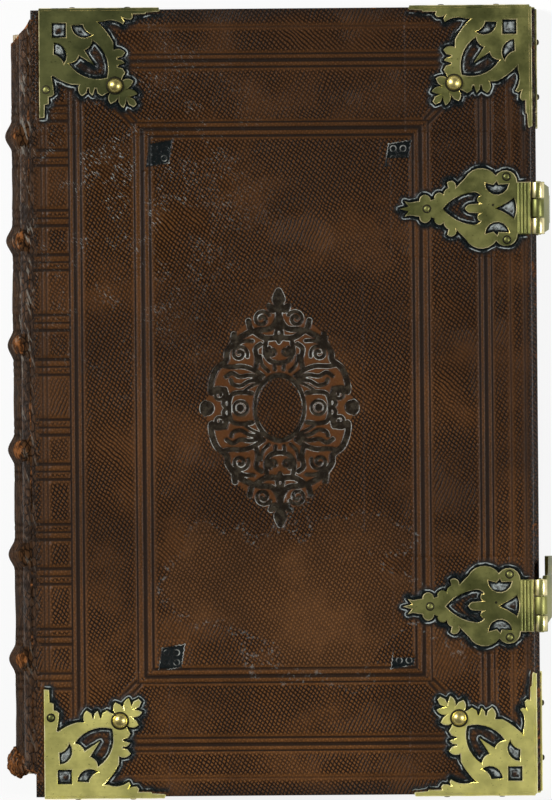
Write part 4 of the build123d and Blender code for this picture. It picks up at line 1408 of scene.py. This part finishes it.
heads = {
    "studs": {"dome radius": 3.75, "dome height": 2.9, "ring radius": 3.9, "ring height": 0.5},
    # thin dark discs of painted shadow round the studs and rivets, and a dark dot of painted shade for each pit
    "studSeats": {"dome radius": 4.6, "dome height": 0.06, "ring radius": 4.7, "ring height": 0.12},
    "pits": {"dome radius": 0.6, "dome height": 0.03, "ring radius": 0.65, "ring height": 0.04},
    "rivets": {"dome radius": 1.35, "dome height": 0.35, "ring radius": 1.75, "ring height": 0.26},
    "nails": {"dome radius": 1.5, "dome height": 0.9, "ring radius": 1.55, "ring height": 0.2},
    "flatNails": {"dome radius": 1.5, "dome height": 0.35, "ring radius": 1.55, "ring height": 0.15},
    "rivetShadeDiscs": {"dome radius": 2.2, "dome height": 0.05, "ring radius": 2.3, "ring height": 0.1},
}
headPlaces = {
    "nails": (17.0, 45.0), "nailDeep": 2.6, "cornerRivet": (3.5, 40.4), "pit": (19.3, 1.7),
    "plateRivets": ((0.185, 0.785), (0.185, -0.785), (0.792, 0)),
}
reeds = {"places": (1.1, 2.9, 4.7, 6.4), "sizes": {"length": 25.6, "radius": 0.72}, "sunk": 0.1, "sharp": 50}


def newTree(name, sizes):  # a node tree with named inputs for sizes in metres and the finish
    tree = bpy.data.node_groups.new(name, "GeometryNodeTree")
    for label, kind in (("Geometry", "Geometry"), *((size, "Float") for size in sizes), ("finish", "Material")):
        tree.interface.new_socket(label, in_out="INPUT", socket_type=f"NodeSocket{kind}")
    tree.interface.new_socket("Geometry", in_out="OUTPUT", socket_type="NodeSocketGeometry")
    return tree, put(tree, "NodeGroupInput").outputs


def setOnPoints(tree, given, shape):  # one shape to a point, turned to where the point faces
    facing = put(tree, "GeometryNodeInputNamedAttribute", {"Name": "facing"}, data_type="FLOAT_VECTOR").outputs[0]
    turn = put(tree, "FunctionNodeAlignRotationToVector", {"Vector": facing}, axis="Z").outputs[0]
    points = put(tree, "GeometryNodeMeshToPoints", {"Mesh": given["Geometry"]}).outputs[0]
    placed = put(tree, "GeometryNodeInstanceOnPoints", {
        "Points": points, "Instance": shape, "Rotation": turn,
    }).outputs[0]
    real = put(tree, "GeometryNodeRealizeInstances", {"Geometry": placed}).outputs[0]
    done = put(tree, "GeometryNodeSetMaterial", {"Geometry": real, "Material": given["finish"]}).outputs[0]
    tree.links.new(done, put(tree, "NodeGroupOutput").inputs[0])
    return tree


def combined(tree, x=0.0, y=0.0, z=0.0):
    return put(tree, "ShaderNodeCombineXYZ", {0: x, 1: y, 2: z}).outputs[0]


def headTree():
    tree, given = newTree("fastenerHeads", heads["studs"])
    ball = put(tree, "GeometryNodeMeshUVSphere", {"Segments": 20, "Rings": 10, "Radius": 1.0}).outputs["Mesh"]
    head = put(tree, "GeometryNodeJoinGeometry")
    for part, lift in (("dome", given["ring height"]), ("ring", 0.0)):
        radius, height = given[f"{part} radius"], given[f"{part} height"]
        shape = put(tree, "GeometryNodeTransform", {
            "Geometry": ball, "Translation": combined(tree, z=lift), "Scale": combined(tree, radius, radius, height),
        }).outputs[0]
        tree.links.new(shape, head.inputs[0])
    smooth = put(tree, "GeometryNodeSetShadeSmooth", {"Geometry": head.outputs[0]}).outputs[0]
    return setOnPoints(tree, given, smooth)


def reedTree():
    tree, given = newTree("hingeReeds", reeds["sizes"])
    half = times(given["length"], 0.5)
    line = put(tree, "GeometryNodeCurvePrimitiveLine", {
        "Start": combined(tree, y=times(half, -1.0)), "End": combined(tree, y=half),
    }).outputs[0]
    ring = put(tree, "GeometryNodeCurvePrimitiveCircle", {"Resolution": 12, "Radius": given["radius"]}).outputs[0]
    bar = put(tree, "GeometryNodeCurveToMesh", {"Curve": line, "Profile Curve": ring, "Fill Caps": True}).outputs[0]
    return setOnPoints(tree, given, bar)


def grown(name, tree, sizes, places, material, body, node=None):  # places are (point, facing)
    mesh = bpy.data.meshes.new(name)
    mesh.from_pydata([tuple(c * mm for c in p) for p, facing in places], [], [])
    layer = mesh.attributes.new("facing", "FLOAT_VECTOR", "POINT")
    layer.data.foreach_set("vector", [c for p, facing in places for c in facing])
    piece = newPiece(name, mesh)
    modifier = piece.modifiers.new(tree.name, "NODES")
    modifier.node_group = tree
    ids = {s.name: s.identifier for s in tree.interface.items_tree if s.in_out == "INPUT"}
    for label, size in sizes.items():
        modifier[ids[label]] = size * mm
    modifier[ids["finish"]] = material
    return carried(bakedModifiers(piece), body, node)


fastenerTree = headTree()
brassTop = cornerShape["thick"]
for side in covers:
    out, body = covers[side]["out"], covers[side]["body"]
    studs, nails, flatNails, rivets = [], [], [], []
    for end, edge in cornerTones:
        place, up = cornerFrame(side, end, edge), 1 if end == "head" else -1
        studs.append((place(cornerShape["stud"], cornerShape["stud"], brassTop), (0, 0, out)))
        for along in headPlaces["nails"]:
            flatNails.append((place(along, -cornerShape["flange"], -headPlaces["nailDeep"]), (0, up, 0)))
            if edge == "fore":
                nails.append((place(-cornerShape["flange"], along, -headPlaces["nailDeep"]), (1, 0, 0)))
        if edge == "spine":
            rivets.append((place(*headPlaces["cornerRivet"], brassTop), (0, 0, out)))
    for place in map(plateFrame, levels if side == "front" else ()):
        for u, v in headPlaces["plateRivets"]:
            rivets.append((place(u * plateShape["long"], v * plateShape["half"], brassTop), (0, 0, 1)))
    kinds = [
        # the rivet and stud discs are painted shadow in the dark nail metal
        ("Rivets", "rivets", rivets, "claspBrass", None), ("RivetShadeDiscs", "rivetShadeDiscs", rivets, "darkNailMetalAndShade", None),
        ("StudShadeDiscs", "studSeats", studs, "darkNailMetalAndShade", None),
        ("CornerStuds", "studs", studs, "studBrass", f"{side}_corner_studs"),
        ("EdgeNails", "nails", nails, "darkNailMetalAndShade", None), ("EndNails", "flatNails", flatNails, "darkNailMetalAndShade", None),
    ]
    if side == "front":
        # a dark dot of painted shade where each clasp plate has a pit
        pits = [(plateFrame(level)(*headPlaces["pit"], brassTop), (0, 0, 1)) for level in levels]
        kinds.insert(0, ("PitShadeDots", "pits", pits, "darkNailMetalAndShade", None))
    for name, kind, places, tone, node in kinds:
        grown(side + name, fastenerTree, heads[kind], places, brass[tone], body, node)
print("studs, rivets and nails")

reedPlaces = [(plateFrame(level)(u, 0, brassTop - reeds["sunk"]), (0, 0, 1))
              for level in levels for u in reeds["places"]]
claspReeds = grown("claspReeds", reedTree(), reeds["sizes"], reedPlaces, claspBrass, "front_cover")
claspReeds.data.shade_smooth()
claspReeds.data.set_sharp_from_angle(angle=math.radians(reeds["sharp"]))
print("reeds")


# CAD pieces that keep their shape get their finish here

finishes = {
    "front_board": boardWood, "back_board": boardWood, "front_pastedown": endpaper, "back_pastedown": endpaper,
    "text_block": leafEdges, "upper_clasp_pin": claspBrass, "lower_clasp_pin": claspBrass,
}
for node, material in finishes.items():
    for slot in bpy.data.objects[node].material_slots:
        slot.material = material


# camera above, a touch from the fore side, rolled as the book lies in the photo; floor, backdrop colour and soft light

view = {
    "lens": 1100.0, "sensor": 36.0, "middle": (-0.5, 1.0), "frameHeight": 406.5, "roll": -0.46, "tilt": 1.0,
    "farthest": 40,
}

camera = bpy.data.cameras.new("camera")
camera.lens = view["lens"]
camera.sensor_fit = "VERTICAL"
camera.sensor_height = view["sensor"]
camera.sensor_width = view["sensor"]
camera.clip_end = view["farthest"]
away = view["frameHeight"] * view["lens"] / view["sensor"] * mm
tilt, roll = math.radians(view["tilt"]), math.radians(view["roll"])
aside = away * math.sin(tilt)
cameraObject = newPiece("camera", camera)
cameraObject.location = (
    view["middle"][0] * mm + aside * math.cos(roll), view["middle"][1] * mm + aside * math.sin(roll),
    frontZ * mm + away * math.cos(tilt))
cameraObject.rotation_euler = (0, tilt, roll)
scene.camera = cameraObject

lighting = {
    "horizon": 1.0, "zenith": 0.1, "gradient": (0.03, 0.3), "backdrop": (1.0, 1.0, 0.99, 1.0),
    "floor": (0.86, 0.86, 0.86, 1.0), "floorWhite": 0.85, "floorReach": 6.0, "floorDrop": 0.0005, "aim": (0, 0, 0.05),
    "lamps": (("key", (-1.05, 0.55, 1.15), 0.45, 25.0), ("fill", (1.1, -0.1, 1.1), 0.5, 13.0)),
}

world = bpy.data.worlds.new("studio")
world.use_nodes = True
tree = world.node_tree
tree.nodes.clear()
sky = put(tree, "ShaderNodeSeparateXYZ", {0: put(tree, "ShaderNodeTexCoord").outputs["Generated"]}).outputs["Z"]
strength = ranged(sky, *lighting["gradient"], lighting["horizon"], lighting["zenith"])
background = put(tree, "ShaderNodeBackground", {"Color": lighting["backdrop"], "Strength": strength})
tree.links.new(background.outputs[0], put(tree, "ShaderNodeOutputWorld").inputs[0])
scene.world = world

floorMaterial, tree = newMaterial("studioFloor")
paint = put(tree, "ShaderNodeBsdfDiffuse", {"Color": lighting["floor"]})
white = put(tree, "ShaderNodeEmission", {"Color": (1.0, 1.0, 1.0, 1.0), "Strength": 1.0})
path = put(tree, "ShaderNodeLightPath").outputs
seen = calc("ADD", path["Is Camera Ray"], path["Is Glossy Ray"], True)
seen = times(calc("ADD", seen, path["Is Transmission Ray"], True), lighting["floorWhite"])
pick = put(tree, "ShaderNodeMixShader", {0: seen, 1: paint.outputs[0], 2: white.outputs[0]})
tree.links.new(pick.outputs[0], put(tree, "ShaderNodeOutputMaterial").inputs[0])
floorMesh = bpy.data.meshes.new("studioFloor")
far = lighting["floorReach"]
floorMesh.from_pydata([(-far, -far, 0), (far, -far, 0), (far, far, 0), (-far, far, 0)], [], [(0, 1, 2, 3)])
floorMesh.materials.append(floorMaterial)
floor = newPiece("studioFloor", floorMesh)
floor.location.z = cadBox[0].z - lighting["floorDrop"]

for name, place, size, power in lighting["lamps"]:
    lamp = bpy.data.lights.new(name, "AREA")
    lamp.shape = "DISK"
    lamp.size = size
    lamp.energy = power
    lampObject = newPiece(name, lamp)
    lampObject.location = place
    lampObject.rotation_euler = (Vector(lighting["aim"]) - Vector(place)).to_track_quat("-Z", "Y").to_euler()

scene.view_settings.view_transform = "Standard"
print("camera and light ready")
